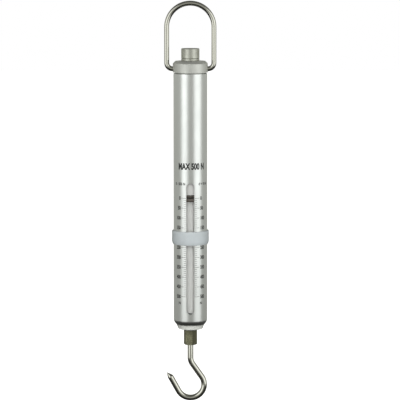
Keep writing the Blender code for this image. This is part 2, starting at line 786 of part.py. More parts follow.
def main():
    clear_scene()
    casing = joint_empty("casing_pivot", (0.0, 0.0, PIVOT_Z))
    tare = joint_empty("tare_axis", (0.0, 0.0, KNOB_TOP_Z), casing)
    carrier = joint_empty("spring_carrier", (0.0, 0.0, UPPER_PLUG_TOP_Z), casing)
    load = joint_empty("load_train", (0.0, 0.0, POINTER_TOP_Z), carrier)
    swivel = joint_empty("hook_swivel", (0.0, 0.0, HEX_END_Z), load)
    marker = joint_empty("drag_ring_slide", (0.0, 0.0, RING_TOP_Z), casing)

    place(make_bail(), None)
    for make in (
        make_tube, make_cap, make_cap_set_screw, make_friction_washer, make_guide_pin,
        make_bush, make_buffer,
    ):
        place(make(), casing)
    for make in (make_knob, make_knob_screw, make_spindle, make_thrust_washer, make_circlip):
        place(make(), tare)
    for make in (make_upper_plug, make_spring):
        place(make(), carrier)
    for make in (
        make_lower_plug, make_pointer, make_index_ring, make_rod, make_cross_pin, make_coupling,
    ):
        place(make(), load)
    for make in (make_hook, make_swivel_nut, make_hook_washer):
        place(make(), swivel)
    for make in (make_drag_ring, make_pusher):
        place(make(), marker)


main()
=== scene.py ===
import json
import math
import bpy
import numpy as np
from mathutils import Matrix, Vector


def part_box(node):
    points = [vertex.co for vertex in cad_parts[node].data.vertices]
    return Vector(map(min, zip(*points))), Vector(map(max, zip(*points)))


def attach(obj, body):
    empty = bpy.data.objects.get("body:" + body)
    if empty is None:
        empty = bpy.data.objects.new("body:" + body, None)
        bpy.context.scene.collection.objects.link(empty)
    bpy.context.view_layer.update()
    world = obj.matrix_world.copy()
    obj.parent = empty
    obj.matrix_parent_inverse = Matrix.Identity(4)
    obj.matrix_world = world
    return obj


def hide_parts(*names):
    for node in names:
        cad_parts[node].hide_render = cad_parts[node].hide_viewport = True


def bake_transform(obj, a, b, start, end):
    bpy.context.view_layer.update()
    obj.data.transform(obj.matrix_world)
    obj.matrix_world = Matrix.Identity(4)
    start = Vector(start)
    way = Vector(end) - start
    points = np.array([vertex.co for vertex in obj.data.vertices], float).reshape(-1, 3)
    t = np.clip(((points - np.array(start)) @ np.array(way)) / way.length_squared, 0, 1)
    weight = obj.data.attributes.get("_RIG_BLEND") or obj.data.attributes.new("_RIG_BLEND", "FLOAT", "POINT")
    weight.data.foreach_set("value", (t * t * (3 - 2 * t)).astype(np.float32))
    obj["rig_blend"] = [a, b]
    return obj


bl_info = {
    "name": "Hanging Spring Scale",
    "version": (1, 0, 0),
    "blender": (4, 5, 0),
    "location": "View3D > Sidebar > Spring Scale",
    "description": "Models the pieces of a tubular hanging spring scale round its packed frame",
    "category": "Object",
}

import bmesh
import bpy
from bpy.props import (
    FloatProperty, FloatVectorProperty, IntProperty, PointerProperty, StringProperty,
)
from mathutils import Vector

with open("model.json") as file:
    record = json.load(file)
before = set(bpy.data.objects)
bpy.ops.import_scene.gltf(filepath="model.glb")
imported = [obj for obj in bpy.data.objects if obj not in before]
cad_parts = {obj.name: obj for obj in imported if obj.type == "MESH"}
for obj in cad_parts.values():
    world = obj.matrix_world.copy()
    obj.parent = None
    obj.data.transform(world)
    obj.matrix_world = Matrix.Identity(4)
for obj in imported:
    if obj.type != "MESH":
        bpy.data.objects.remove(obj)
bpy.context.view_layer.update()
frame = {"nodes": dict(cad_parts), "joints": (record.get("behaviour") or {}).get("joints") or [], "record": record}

MM = 0.001

TUBE_LOW, TUBE_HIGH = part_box("tube")
CAP_LOW, CAP_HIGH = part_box("top_cap")
KNOB_LOW, KNOB_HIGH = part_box("tare_knob")
WASHER_LOW, WASHER_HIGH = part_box("tare_friction_washer")
BAIL_LOW, BAIL_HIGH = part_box("bail")
BUSH_LOW, BUSH_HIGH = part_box("bottom_bush")
POINTER_LOW, POINTER_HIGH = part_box("pointer_piston")
INDEX_LOW, INDEX_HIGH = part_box("index_ring")
ROD_LOW, ROD_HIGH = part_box("pull_rod")
LOWER_PLUG_LOW, LOWER_PLUG_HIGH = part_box("spring_lower_plug")
SPRING_LOW, SPRING_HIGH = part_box("main_spring")
HEX_LOW, HEX_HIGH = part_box("hex_coupling")
HOOK_LOW, HOOK_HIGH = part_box("hook")
RING_LOW, RING_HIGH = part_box("drag_ring")

HINGES = {joint["name"]: joint for joint in frame["joints"]}
PIVOT_Z = HINGES["bail_swing"]["pos_m"][2]

PLAY = 0.3 * MM  # between two pieces that would touch
SEAM = 0.9 * MM  # between the cap's foot and the casing
SPINDLE_BORE = 4.3 * MM
SPIGOT = 14.6 * MM
BAIL_END_X = 10.0 * MM
PAST = 1.0 * MM  # how far a cutter goes through a surface
SCREW_HOLE = 1.8 * MM
INDEX_GROOVE = 12.6 * MM
PLUG_COLLAR_Z = -175.3 * MM
CAVITY = 4.9 * MM
CAVITY_TOP_Z = -334.6 * MM
CAVITY_END_Z = -340.2 * MM


# Sizes, finishes and stage, as a user would change them


def length(name, description, default):
    return FloatProperty(
        name=name, description=description, default=default, unit="LENGTH", precision=5
    )


def colour(name, description, default):
    return FloatVectorProperty(
        name=name, description=description, default=default, subtype="COLOR", min=0.0, max=1.0
    )


def share(name, description, default):
    return FloatProperty(
        name=name, description=description, default=default, min=0.0, max=1.0, subtype="FACTOR"
    )


def brightness(name, description, default):
    return FloatProperty(name=name, description=description, default=default)


class SpringScaleSizes(bpy.types.PropertyGroup):
    """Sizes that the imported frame's boxes don't give"""

    bail_wire: length("Bail Wire", "Thickness of the bail's wire", BAIL_HIGH.y - BAIL_LOW.y)
    bail_bend: length("Bail Foot Bend", "Bend radius where the bail turns in to the cap", 6.0 * MM)
    bore: length("Casing Bore", "Radius of the casing's bore", 15.0 * MM)
    mouth: length("Casing Mouth", "Radius of the casing's drawn-in mouth", 12.9 * MM)
    slot_width: length("Slot Width", "Width of the reading slot", 8.0 * MM)
    slot_top: length("Slot Top", "Height of the slot's upper end", -176.7 * MM)
    slot_end: length("Slot End", "Height of the slot's lower end", -309.8 * MM)
    zero: length("Zero", "Height of the zero mark", (INDEX_LOW.z + INDEX_HIGH.z) / 2)
    step: length("Step", "Distance between two marks, 10 newtons apart", 2.0 * MM)
    cap_chamfer: length("Cap Chamfer", "Chamfer round the cap's top", 2.5 * MM)
    hook_wire: length("Hook Wire", "Thickness of the hook's wire", HOOK_HIGH.y - HOOK_LOW.y)
    hook_neck: length("Hook Neck Bend", "Bend radius of the hook's neck", 12.0 * MM)
    hook_bowl: length("Hook Bowl", "Radius of the hook's bowl to the wire's middle", 13.9 * MM)
    hook_run: length("Hook Tip Run", "Straight length from the bowl to the tip", 22.5 * MM)
    hook_point: length("Hook Point", "Length of the ground point", 6.0 * MM)
    hook_point_side: length("Hook Point Side", "Ground tip's shift off the wire's middle", 1.3 * MM)
    hex_flats: length("Hexagon Flats", "Size of the coupling across its flats", 12.0 * MM)
    hex_chamfer: length("Hexagon Chamfer", "Chamfer at the coupling's ends", 0.9 * MM)
    spring_wire: length("Spring Wire", "Thickness of the spring's wire", 3.4 * MM)
    spring_radius: length("Spring Radius", "Radius of the coils to the wire's middle", 12.1 * MM)
    spring_turns: FloatProperty(name="Spring Turns", description="Number of coils", default=21.5)
    ink: length("Ink", "Thickness of the printed marks", 0.03 * MM)
    facets: IntProperty(name="Facets", description="Sides of a wide turned piece", default=192)


class SpringScaleFinishes(bpy.types.PropertyGroup):
    """Colours of the finishes"""

    satin_aluminium: colour("Satin Aluminium", "Clear-anodised casing", (0.800, 0.815, 0.805))
    turned_aluminium: colour("Turned Aluminium", "Cap", (0.84, 0.845, 0.81))
    rod_aluminium: colour("Rod Aluminium", "Pull rod", (0.90, 0.89, 0.87))
    plug_aluminium: colour("Plug Aluminium", "Lower spring plug", (0.62, 0.61, 0.595))
    knob_aluminium: colour("Knob Aluminium", "Knob and friction washer", (0.60, 0.60, 0.54))
    polished_wire: colour("Polished Wire", "Bail and hook", (0.57, 0.56, 0.505))
    bronzed_steel: colour("Bronzed Steel", "Hexagonal coupling", (0.145, 0.140, 0.090))
    light_plastic: colour("Light Plastic", "Drag ring", (0.54, 0.575, 0.60))
    white_plastic: colour("White Plastic", "Bush", (0.80, 0.80, 0.76))
    dark_plastic: colour("Dark Plastic", "Pointer", (0.090, 0.076, 0.064))
    rubber: colour("Rubber", "Index ring and buffer", (0.012, 0.012, 0.012))
    steel: colour("Steel", "Screws, pins and washers", (0.50, 0.51, 0.52))
    spring_steel: colour("Spring Steel", "Main spring", (0.36, 0.36, 0.37))
    brass: colour("Brass", "Spindle and hook washer", (0.72, 0.55, 0.28))
    ink: colour("Ink", "Printed marks", (0.018, 0.019, 0.018))


class SpringScaleStage(bpy.types.PropertyGroup):
    """Camera, lights and floor"""

    lens: FloatProperty(
        name="Lens", description="Focal length", default=170.5, subtype="DISTANCE_CAMERA"
    )
    distance: length("Distance", "From the casing's axis to the camera", 1.90)
    camera_x: length("Camera Side", "How far the camera stands to the reader's right", 9.7 * MM)
    camera_z: length("Camera Height", "Height of the camera over the hanging point", 31.0 * MM)
    aim_z: length("Aim Height", "Height that the camera is aimed at", -195.3 * MM)
    left_light: brightness("Left Light", "Radiance of the left box", 1.12)
    right_light: brightness("Right Light", "Radiance of the right box", 1.08)
    fill_light: brightness("Fill Light", "Radiance of the fill by the camera", 5.4)
    room: share("Room", "Brightness of the room round the object", 0.56)
    floor_z: length("Floor", "Height of the floor", -0.52)
    title: StringProperty(
        name="Title", description="Capacity printed on the casing", default="MAX 500 N"
    )


def sizes():
    return bpy.context.scene.spring_scale_sizes


def finishes():
    return bpy.context.scene.spring_scale_finishes


def stage():
    return bpy.context.scene.spring_scale_stage


# Work in object and edit mode


def put_down():
    """Leaves edit mode and deselects everything."""
    if bpy.context.mode != "OBJECT":
        bpy.ops.object.mode_set(mode="OBJECT")
    bpy.ops.object.select_all(action="DESELECT")


def pick_up(piece):
    put_down()
    piece.select_set(True)
    bpy.context.view_layer.objects.active = piece


def edit_all():
    """Edit mode with the whole mesh selected."""
    bpy.ops.object.mode_set(mode="EDIT")
    bpy.ops.mesh.select_all(action="SELECT")


def select_where(piece, test):
    """In edit mode, selects only the vertices whose place passes the test."""
    bpy.ops.mesh.select_mode(type="VERT")
    bpy.ops.mesh.select_all(action="DESELECT")
    mesh = bmesh.from_edit_mesh(piece.data)
    for vertex in mesh.verts:
        vertex.select_set(test(vertex.co))
    mesh.select_flush_mode()
    bmesh.update_edit_mesh(piece.data)


def close_up(piece, merge=1e-7):
    """Merges doubles and turns the faces outwards, then leaves edit mode."""
    bpy.ops.mesh.select_all(action="SELECT")
    bpy.ops.mesh.remove_doubles(threshold=merge)
    bpy.ops.mesh.normals_make_consistent(inside=False)
    bpy.ops.object.mode_set(mode="OBJECT")


def turn(name, outline, facets=96):
    """Draws a circle out along an outline of (radius, height) points. An outline that comes back
    to its first point is a ring; any other has its two ends filled flat."""
    put_down()
    radius, height = outline[0]
    ring = outline[-1] == outline[0]
    bpy.ops.mesh.primitive_circle_add(vertices=facets, radius=radius, fill_type="NOTHING")
    piece = bpy.context.object
    piece.name = name
    edit_all()
    bpy.ops.transform.translate(value=(0.0, 0.0, height))
    for next_radius, next_height in outline[1:]:
        bpy.ops.mesh.extrude_region_move(
            TRANSFORM_OT_translate={"value": (0.0, 0.0, next_height - height)}
        )
        grow = next_radius / radius
        bpy.ops.transform.resize(value=(grow, grow, 1.0), center_override=(0.0, 0.0, next_height))
        radius, height = next_radius, next_height
    if not ring:
        bpy.ops.mesh.edge_face_add()
        first = outline[0][1]
        select_where(piece, lambda co: abs(co.z - first) < 1e-7)
        bpy.ops.mesh.edge_face_add()
    close_up(piece, 1e-6 if ring else 1e-7)
    return piece


def sweep_wire(name, radius, start, heading, moves, facets=40):
    """Bends a round wire in the XZ plane. heading is its first direction in degrees from +X
    towards +Z. A move is ("run", length), ("bend", bend radius, degrees, left turns positive)
    or ("taper", length, thickness left, shift to the left)."""
    put_down()
    angle = math.radians(heading)
    place = Vector((start[0], 0.0, start[1]))
    bpy.ops.mesh.primitive_circle_add(
        vertices=facets, radius=radius, fill_type="NOTHING",
        rotation=(0.0, math.pi / 2 - angle, 0.0),
    )
    piece = bpy.context.object
    piece.name = name
    bpy.ops.object.transform_apply(location=True, rotation=True, scale=True)
    edit_all()
    bpy.ops.transform.translate(value=place)
    for move in moves:
        ahead = Vector((math.cos(angle), 0.0, math.sin(angle)))
        if move[0] == "bend":
            turned = math.radians(move[2])
            side = math.copysign(1.0, turned)
            centre = place + Vector((-ahead.z, 0.0, ahead.x)) * move[1] * side
            bpy.ops.mesh.spin(
                steps=max(3, round(abs(move[2]) / 4.0)), angle=turned, center=centre,
                axis=(0.0, 1.0, 0.0),
            )
            angle += turned
            outward = Vector((math.sin(angle), 0.0, -math.cos(angle))) * move[1] * side
            place = centre + outward
        else:
            shift = ahead * move[1]
            if move[0] == "taper":
                shift += Vector((-ahead.z, 0.0, ahead.x)) * move[3]
            bpy.ops.mesh.extrude_region_move(TRANSFORM_OT_translate={"value": shift})
            place = place + shift
            if move[0] == "taper":
                bpy.ops.transform.resize(value=(move[2],) * 3, center_override=place)
    bpy.ops.mesh.edge_face_add()
    first = Vector((start[0], 0.0, start[1]))
    select_where(piece, lambda co: (co - first).length < radius * 1.01)
    bpy.ops.mesh.edge_face_add()
    close_up(piece)
    return piece


def apply_change(piece, change):
    pick_up(piece)
    bpy.ops.object.modifier_apply(modifier=change.name)


def soften(piece, width, segments=3, angle=28.0):
    """Rounds every corner sharper than the angle."""
    change = piece.modifiers.new("rounded_corners", "BEVEL")
    change.width = width
    change.segments = segments
    change.limit_method = "ANGLE"
    change.angle_limit = math.radians(angle)
    apply_change(piece, change)


def smooth(piece, angle=35.0):
    """Smooth shading with true flats: big faces keep their own direction next to small ones."""
    pick_up(piece)
    bpy.ops.object.shade_smooth_by_angle(angle=math.radians(angle))
    change = piece.modifiers.new("true_flats", "WEIGHTED_NORMAL")
    change.keep_sharp = True
    change.weight = 60
    apply_change(piece, change)


def cut_away(piece, cutter, operation="DIFFERENCE"):
    """Cuts a piece and throws the cutter away."""
    change = piece.modifiers.new("cut", "BOOLEAN")
    change.operation = operation
    change.solver = "EXACT"
    change.object = cutter
    apply_change(piece, change)
    bpy.data.objects.remove(cutter, do_unlink=True)


def bar(name, start, end, radius, facets=32):
    """A plain round bar between two points, as a cutter or the start of a screw."""
    put_down()
    start, end = Vector(start), Vector(end)
    bpy.ops.mesh.primitive_cylinder_add(
        vertices=facets, radius=radius, depth=(end - start).length, location=(start + end) / 2,
        rotation=(end - start).to_track_quat("Z", "Y").to_euler(),
    )
    piece = bpy.context.object
    piece.name = name
    bpy.ops.object.transform_apply(location=True, rotation=True, scale=True)
    return piece


def arc(centre, radius, start, end, steps):
    """Outline points on an arc, angles in degrees from outwards towards up."""
    return [
        (
            centre[0] + radius * math.cos(math.radians(start + (end - start) * i / steps)),
            centre[1] + radius * math.sin(math.radians(start + (end - start) * i / steps)),
        )
        for i in range(steps + 1)
    ]


def hand_over(piece, body, slot, *nodes, finish=None):
    """Gives a finished piece its finish, which has the slot's name unless another is given,
    hides the nodes it stands for and attaches the piece to its body."""
    pick_up(piece)
    bpy.ops.object.transform_apply(location=True, rotation=True, scale=True)
    piece.data.materials.clear()
    piece.data.materials.append(material_for(finish or slot))
    put_down()
    if nodes:
        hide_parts(*nodes)
    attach(piece, body)
    return piece


# Shared effects, as node groups


class Tree:
    """Short words for building a node tree."""

    def __init__(self, tree):
        self.tree = tree

    def node(self, kind, **settings):
        made = self.tree.nodes.new(kind)
        for key, value in settings.items():
            if key in made.bl_rna.properties:
                setattr(made, key, value)
        return made

    def join(self, source, target):
        self.tree.links.new(source, target)

    def maths(self, operation, first, second=None, clamp=False):
        made = self.node("ShaderNodeMath", operation=operation, use_clamp=clamp)
        for socket, value in zip(made.inputs, (first, second)):
            if isinstance(value, (int, float)):
                socket.default_value = value
            elif value is not None:
                self.join(value, socket)
        return made.outputs[0]

    def blend_of(self, first, first_share, second, second_share):
        """Adds a share of one mask to a share of another."""
        return self.maths(
            "ADD", self.maths("MULTIPLY", first, first_share),
            self.maths("MULTIPLY", second, second_share),
        )

    def mapped(self, source, scale):
        made = self.node("ShaderNodeMapping")
        made.inputs["Scale"].default_value = scale
        self.join(source, made.inputs["Vector"])
        return made.outputs["Vector"]

    def noise(self, source, scale, detail=3.0, roughness=0.55):
        made = self.node("ShaderNodeTexNoise")
        made.inputs["Detail"].default_value = detail
        made.inputs["Roughness"].default_value = roughness
        self.join(source, made.inputs["Vector"])
        if isinstance(scale, (int, float)):
            made.inputs["Scale"].default_value = scale
        else:
            self.join(scale, made.inputs["Scale"])
        return made.outputs["Fac"]

    def ramp(self, source, *stops):
        """A colour ramp over (place, grey) stops."""
        made = self.node("ShaderNodeValToRGB")
        elements = made.color_ramp.elements
        while len(elements) < len(stops):
            elements.new(0.5)
        for element, (place, grey) in zip(elements, stops):
            element.position = place
            element.color = (grey, grey, grey, 1.0)
        self.join(source, made.inputs["Fac"])
        return made.outputs["Color"]

    def between(self, factor, first, second, blend="MIX"):
        """Mixes two colours by a factor."""
        made = self.node("ShaderNodeMix", data_type="RGBA", blend_type=blend)
        sockets = [s for s in made.inputs if s.enabled]
        for socket, value in zip(sockets, (factor, first, second)):
            if isinstance(value, (int, float)):
                socket.default_value = value
            elif isinstance(value, (tuple, list)):
                socket.default_value = (*value, 1.0)
            else:
                self.join(value, socket)
        return next(s for s in made.outputs if s.enabled)


def group(name, inputs, outputs, build):
    """A node group with float inputs (name, default) and float outputs, built once."""
    found = bpy.data.node_groups.get(name)
    if found:
        return found
    tree = bpy.data.node_groups.new(name, "ShaderNodeTree")
    for socket, default in inputs:
        made = tree.interface.new_socket(name=socket, in_out="INPUT", socket_type="NodeSocketFloat")
        made.default_value = default
    for socket in outputs:
        tree.interface.new_socket(name=socket, in_out="OUTPUT", socket_type="NodeSocketFloat")
    words = Tree(tree)
    given = words.node("NodeGroupInput")
    result = words.node("NodeGroupOutput")
    build(words, given.outputs, result.inputs)
    return tree


def drawn_lines():
    """Fine lines along the casing, as an extruded and anodised tube has them."""

    def build(words, given, result):
        place = words.node("ShaderNodeTexCoord").outputs["Object"]
        long_lines = words.noise(words.mapped(place, (1.0, 1.0, 0.004)), given["Lines"], 4.0, 0.65)
        broad = words.noise(words.mapped(place, (1.0, 1.0, 0.02)), 90.0, 2.0)
        grain = words.noise(place, given["Grain"], 2.0)
        words.join(words.blend_of(long_lines, 0.62, grain, 0.38), result["Height"])
        words.join(broad, result["Patches"])

    inputs = (("Lines", 2600.0), ("Grain", 5200.0))
    return group("drawn_lines", inputs, ("Height", "Patches"), build)


def turning_lines():
    """Fine rings round the axis, on walls and on faces, as a lathe tool leaves them."""

    def build(words, given, result):
        place = words.node("ShaderNodeTexCoord").outputs["Object"]
        apart = words.node("ShaderNodeSeparateXYZ")
        words.join(place, apart.inputs[0])
        across = words.maths("ADD", words.maths("POWER", apart.outputs["X"], 2.0),
                             words.maths("POWER", apart.outputs["Y"], 2.0))
        together = words.node("ShaderNodeCombineXYZ")
        words.join(words.maths("SQRT", across), together.inputs["X"])
        words.join(apart.outputs["Z"], together.inputs["Z"])
        rings = words.noise(together.outputs[0], given["Rings"], 3.0, 0.6)
        grain = words.noise(place, given["Grain"], 2.0)
        words.join(words.blend_of(rings, 0.75, grain, 0.25), result["Height"])
        words.join(words.noise(place, 160.0, 2.0), result["Patches"])

    inputs = (("Rings", 3400.0), ("Grain", 4200.0))
    return group("turning_lines", inputs, ("Height", "Patches"), build)


def hand_marks():
    """Faint smudges and hairline scratches from handling."""

    def build(words, given, result):
        place = words.node("ShaderNodeTexCoord").outputs["Object"]
        smudge = words.noise(place, given["Smudges"], 4.0, 0.6)
        slanted = words.node("ShaderNodeMapping")
        slanted.inputs["Rotation"].default_value = (0.3, 0.5, 0.9)
        slanted.inputs["Scale"].default_value = (1.0, 14.0, 0.6)
        words.join(place, slanted.inputs["Vector"])
        hair = words.noise(slanted.outputs["Vector"], given["Scratches"], 1.0)
        off_middle = words.maths("ABSOLUTE", words.maths("SUBTRACT", hair, 0.5))
        steep = words.maths("MULTIPLY", off_middle, 42.0)
        thin = words.maths("SUBTRACT", 1.0, steep, clamp=True)
        words.join(smudge, result["Smudge"])
        handled = words.ramp(smudge, (0.50, 0.0), (0.68, 1.0))
        words.join(words.maths("MULTIPLY", thin, handled), result["Scratch"])

    inputs = (("Smudges", 55.0), ("Scratches", 130.0))
    return group("hand_marks", inputs, ("Smudge", "Scratch"), build)


def moulded_grain():
    """The fine bead texture of moulded plastic."""

    def build(words, given, result):
        place = words.node("ShaderNodeTexCoord").outputs["Object"]
        beads = words.node("ShaderNodeTexVoronoi", feature="SMOOTH_F1")
        words.join(place, beads.inputs["Vector"])
        words.join(given["Beads"], beads.inputs["Scale"])
        soft = words.noise(place, 420.0, 3.0)
        words.join(words.blend_of(beads.outputs["Distance"], 0.7, soft, 0.4), result["Height"])
        words.join(words.noise(place, 75.0, 3.0), result["Patches"])

    return group("moulded_grain", (("Beads", 3600.0),), ("Height", "Patches"), build)


def edge_wear():
    """Where corners have rubbed bright or pale."""

    def build(words, given, result):
        corner = words.node("ShaderNodeNewGeometry").outputs["Pointiness"]
        place = words.node("ShaderNodeTexCoord").outputs["Object"]
        broken = words.noise(place, 900.0, 4.0, 0.7)
        raised = words.ramp(corner, (0.51, 0.0), (0.58, 1.0))
        patchy = words.ramp(broken, (0.36, 0.0), (0.62, 1.0))
        rubbed = words.maths("MULTIPLY", raised, patchy)
        worn = words.maths("MULTIPLY", rubbed, given["Amount"], clamp=True)
        words.join(worn, result["Wear"])

    return group("edge_wear", (("Amount", 1.0),), ("Wear",), build)


# Materials


def start_material(name, roughness, metallic, **uniform):
    """A material with its shader and the words for its tree."""
    material = bpy.data.materials.new(f"{name}_finish")
    material.use_nodes = True
    tree = material.node_tree
    shader = tree.nodes["Principled BSDF"]
    shader.inputs["Roughness"].default_value = roughness
    shader.inputs["Metallic"].default_value = metallic
    for socket, value in uniform.items():
        shader.inputs[socket.replace("_", " ")].default_value = value
    return material, shader, Tree(tree)


def place_group(words, tree, **values):
    made = words.node("ShaderNodeGroup")
    made.node_tree = tree
    for socket, value in values.items():
        made.inputs[socket].default_value = value
    return made.outputs


def vary_colour(words, shader, base, patches, amount):
    """Base colour with slow light and dark patches."""
    darker = tuple(c * (1.0 - amount) for c in base)
    lighter = tuple(min(1.0, c * (1.0 + amount)) for c in base)
    mask = words.ramp(patches, (0.35, 0.0), (0.65, 1.0))
    mixed = words.between(mask, darker, lighter)
    words.join(mixed, shader.inputs["Base Color"])
    return mixed


def vary_roughness(words, shader, source, low, high):
    """Roughness between two values over a mask."""
    span = words.node("ShaderNodeMapRange")
    span.inputs["From Min"].default_value = 0.3
    span.inputs["From Max"].default_value = 0.7
    span.inputs["To Min"].default_value = low
    span.inputs["To Max"].default_value = high
    words.join(source, span.inputs["Value"])
    words.join(span.outputs["Result"], shader.inputs["Roughness"])


def raise_bumps(words, shader, height, distance, strength=1.0):
    bump = words.node("ShaderNodeBump")
    bump.inputs["Strength"].default_value = strength
    bump.inputs["Distance"].default_value = distance
    words.join(height, bump.inputs["Height"])
    words.join(bump.outputs["Normal"], shader.inputs["Normal"])


def satin_aluminium():
    base = tuple(finishes().satin_aluminium)
    material, shader, words = start_material("satin_aluminium", 0.36, 1.0)
    lines = place_group(words, drawn_lines())
    marks = place_group(words, hand_marks())
    coloured = vary_colour(words, shader, base, lines["Patches"], 0.018)
    faint = words.maths("MULTIPLY", marks["Scratch"], 0.10)
    tinted = words.between(faint, coloured, (0.95, 0.95, 0.95))
    words.join(tinted, shader.inputs["Base Color"])
    vary_roughness(words, shader, marks["Smudge"], 0.33, 0.39)
    raise_bumps(words, shader, lines["Height"], 0.010 * MM, 0.55)
    return material


def turned_aluminium(name="turned_aluminium", low=0.56, high=0.66):
    base = tuple(getattr(finishes(), name))
    material, shader, words = start_material(name, low, 1.0)
    rings = place_group(words, turning_lines())
    marks = place_group(words, hand_marks(), Smudges=90.0)
    wear = place_group(words, edge_wear(), Amount=0.6)
    coloured = vary_colour(words, shader, base, rings["Patches"], 0.03)
    worn = words.between(wear["Wear"], coloured, (0.88, 0.88, 0.86))
    words.join(worn, shader.inputs["Base Color"])
    vary_roughness(words, shader, marks["Smudge"], low, high)
    raise_bumps(words, shader, rings["Height"], 0.012 * MM, 0.6)
    return material


def rod_aluminium(name="rod_aluminium"):
    base = tuple(getattr(finishes(), name))
    material, shader, words = start_material(name, 0.55, 0.0)
    rings = place_group(words, turning_lines(), Rings=2600.0)
    vary_colour(words, shader, base, rings["Patches"], 0.02)
    vary_roughness(words, shader, rings["Height"], 0.50, 0.62)
    raise_bumps(words, shader, rings["Height"], 0.010 * MM, 0.5)
    return material


def polished_wire():
    base = tuple(finishes().polished_wire)
    material, shader, words = start_material("polished_wire", 0.09, 1.0)
    marks = place_group(words, hand_marks(), Smudges=140.0, Scratches=420.0)
    grain = place_group(words, drawn_lines(), Lines=900.0, Grain=3800.0)
    coloured = vary_colour(words, shader, base, grain["Patches"], 0.04)
    faint = words.maths("MULTIPLY", marks["Scratch"], 0.25)
    scratched = words.between(faint, coloured, (0.92, 0.91, 0.88))
    words.join(scratched, shader.inputs["Base Color"])
    vary_roughness(words, shader, marks["Smudge"], 0.06, 0.15)
    raise_bumps(words, shader, grain["Height"], 0.006 * MM, 0.35)
    return material


def bronzed_steel():
    base = tuple(finishes().bronzed_steel)
    material, shader, words = start_material("bronzed_steel", 0.52, 0.85)
    wear = place_group(words, edge_wear(), Amount=0.75)
    grain = place_group(words, drawn_lines(), Lines=1500.0, Grain=2600.0)
    marks = place_group(words, hand_marks(), Smudges=260.0, Scratches=300.0)
    coloured = vary_colour(words, shader, base, grain["Patches"], 0.14)
    worn = words.between(wear["Wear"], coloured, tuple(min(1.0, c * 2.6) for c in base))
    faint = words.maths("MULTIPLY", marks["Scratch"], 0.35)
    words.join(words.between(faint, worn, (0.45, 0.44, 0.36)), shader.inputs["Base Color"])
    vary_roughness(words, shader, marks["Smudge"], 0.46, 0.60)
    raise_bumps(words, shader, grain["Height"], 0.02 * MM, 0.6)
    return material


def moulded(name, base, low, high, beads=3600.0, bump=0.010, wear_tone=None):
    """Moulded plastic or rubber: bead grain, slow patches, and pale rubbed edges if asked."""
    material, shader, words = start_material(name, (low + high) / 2, 0.0)
    grain = place_group(words, moulded_grain(), Beads=beads)
    marks = place_group(words, hand_marks(), Smudges=120.0, Scratches=240.0)
    coloured = vary_colour(words, shader, base, grain["Patches"], 0.03)
    if wear_tone:
        wear = place_group(words, edge_wear(), Amount=0.5)
        coloured = words.between(wear["Wear"], coloured, wear_tone)
        words.join(coloured, shader.inputs["Base Color"])
    vary_roughness(words, shader, marks["Smudge"], low, high)
    raise_bumps(words, shader, grain["Height"], bump * MM, 0.6)
    return material


def light_plastic():
    base = tuple(finishes().light_plastic)
    return moulded("light_plastic", base, 0.60, 0.70, wear_tone=(0.66, 0.68, 0.70))


def white_plastic():
    return moulded("white_plastic", tuple(finishes().white_plastic), 0.34, 0.46)


def dark_plastic():
    base = tuple(finishes().dark_plastic)
    return moulded("dark_plastic", base, 0.30, 0.44, wear_tone=(0.16, 0.14, 0.12))


def rubber():
    return moulded("black_rubber", tuple(finishes().rubber), 0.60, 0.80, beads=2400.0, bump=0.02)


def machined(name, low, high):
    """Plain machined metal: turning lines and smudges."""
    base = tuple(getattr(finishes(), name))
    material, shader, words = start_material(name, (low + high) / 2, 1.0)
    rings = place_group(words, turning_lines(), Rings=2800.0)
    marks = place_group(words, hand_marks(), Smudges=200.0)
    vary_colour(words, shader, base, rings["Patches"], 0.06)
    vary_roughness(words, shader, marks["Smudge"], low, high)
    raise_bumps(words, shader, rings["Height"], 0.012 * MM, 0.5)
    return material


def printed_ink():
    base = tuple(finishes().ink)
    material, shader, words = start_material("printed_ink", 0.55, 0.0)
    lines = place_group(words, drawn_lines(), Lines=1800.0)
    rubbed = words.ramp(lines["Height"], (0.30, 0.0), (0.75, 1.0))
    thinned = tuple(c * 1.9 for c in base)
    words.join(words.between(rubbed, base, thinned), shader.inputs["Base Color"])
    vary_roughness(words, shader, lines["Height"], 0.45, 0.65)
    return material


def material_for(name):
    """Each finish is made once and shared. The frame's own materials have the plain names."""
    makers = {
        "satin_aluminium": satin_aluminium,
        "turned_aluminium": turned_aluminium,
        "knob_aluminium": lambda: turned_aluminium("knob_aluminium", 0.42, 0.52),
        "rod_aluminium": rod_aluminium,
        "plug_aluminium": lambda: rod_aluminium("plug_aluminium"),
        "polished_wire": polished_wire,
        "bronzed_steel": bronzed_steel,
        "light_plastic": light_plastic,
        "white_plastic": white_plastic,
        "dark_plastic": dark_plastic,
        "black_rubber": rubber,
        "printed_ink": printed_ink,
        "steel": lambda: machined("steel", 0.24, 0.36),
        "spring_steel": lambda: machined("spring_steel", 0.26, 0.38),
        "brass": lambda: machined("brass", 0.24, 0.36),
    }
    return bpy.data.materials.get(f"{name}_finish") or makers[name]()


# Pieces


class SPRINGSCALE_OT_bail(bpy.types.Operator):
    """Bend the bail from one wire"""

    bl_idname = "spring_scale.bail"
    bl_label = "Bail"

    def execute(self, context):
        s = sizes()
        radius = s.bail_wire / 2
        half = BAIL_HIGH.x - radius
        arch_z = BAIL_HIGH.z - radius - half
        foot = BAIL_LOW.z + radius
        inward = half - s.bail_bend - BAIL_END_X
        leg = arch_z - (foot + s.bail_bend)
        bail = sweep_wire("bail_wire", radius, (BAIL_END_X, foot), 0.0, (
            ("run", inward),
            ("bend", s.bail_bend, 90.0),
            ("run", leg),
            ("bend", half, 180.0),
            ("run", leg),
            ("bend", s.bail_bend, 90.0),
            ("run", inward),
        ))
        smooth(bail, 50.0)
        hand_over(bail, "bail", "polished_wire", "bail")
        return {"FINISHED"}


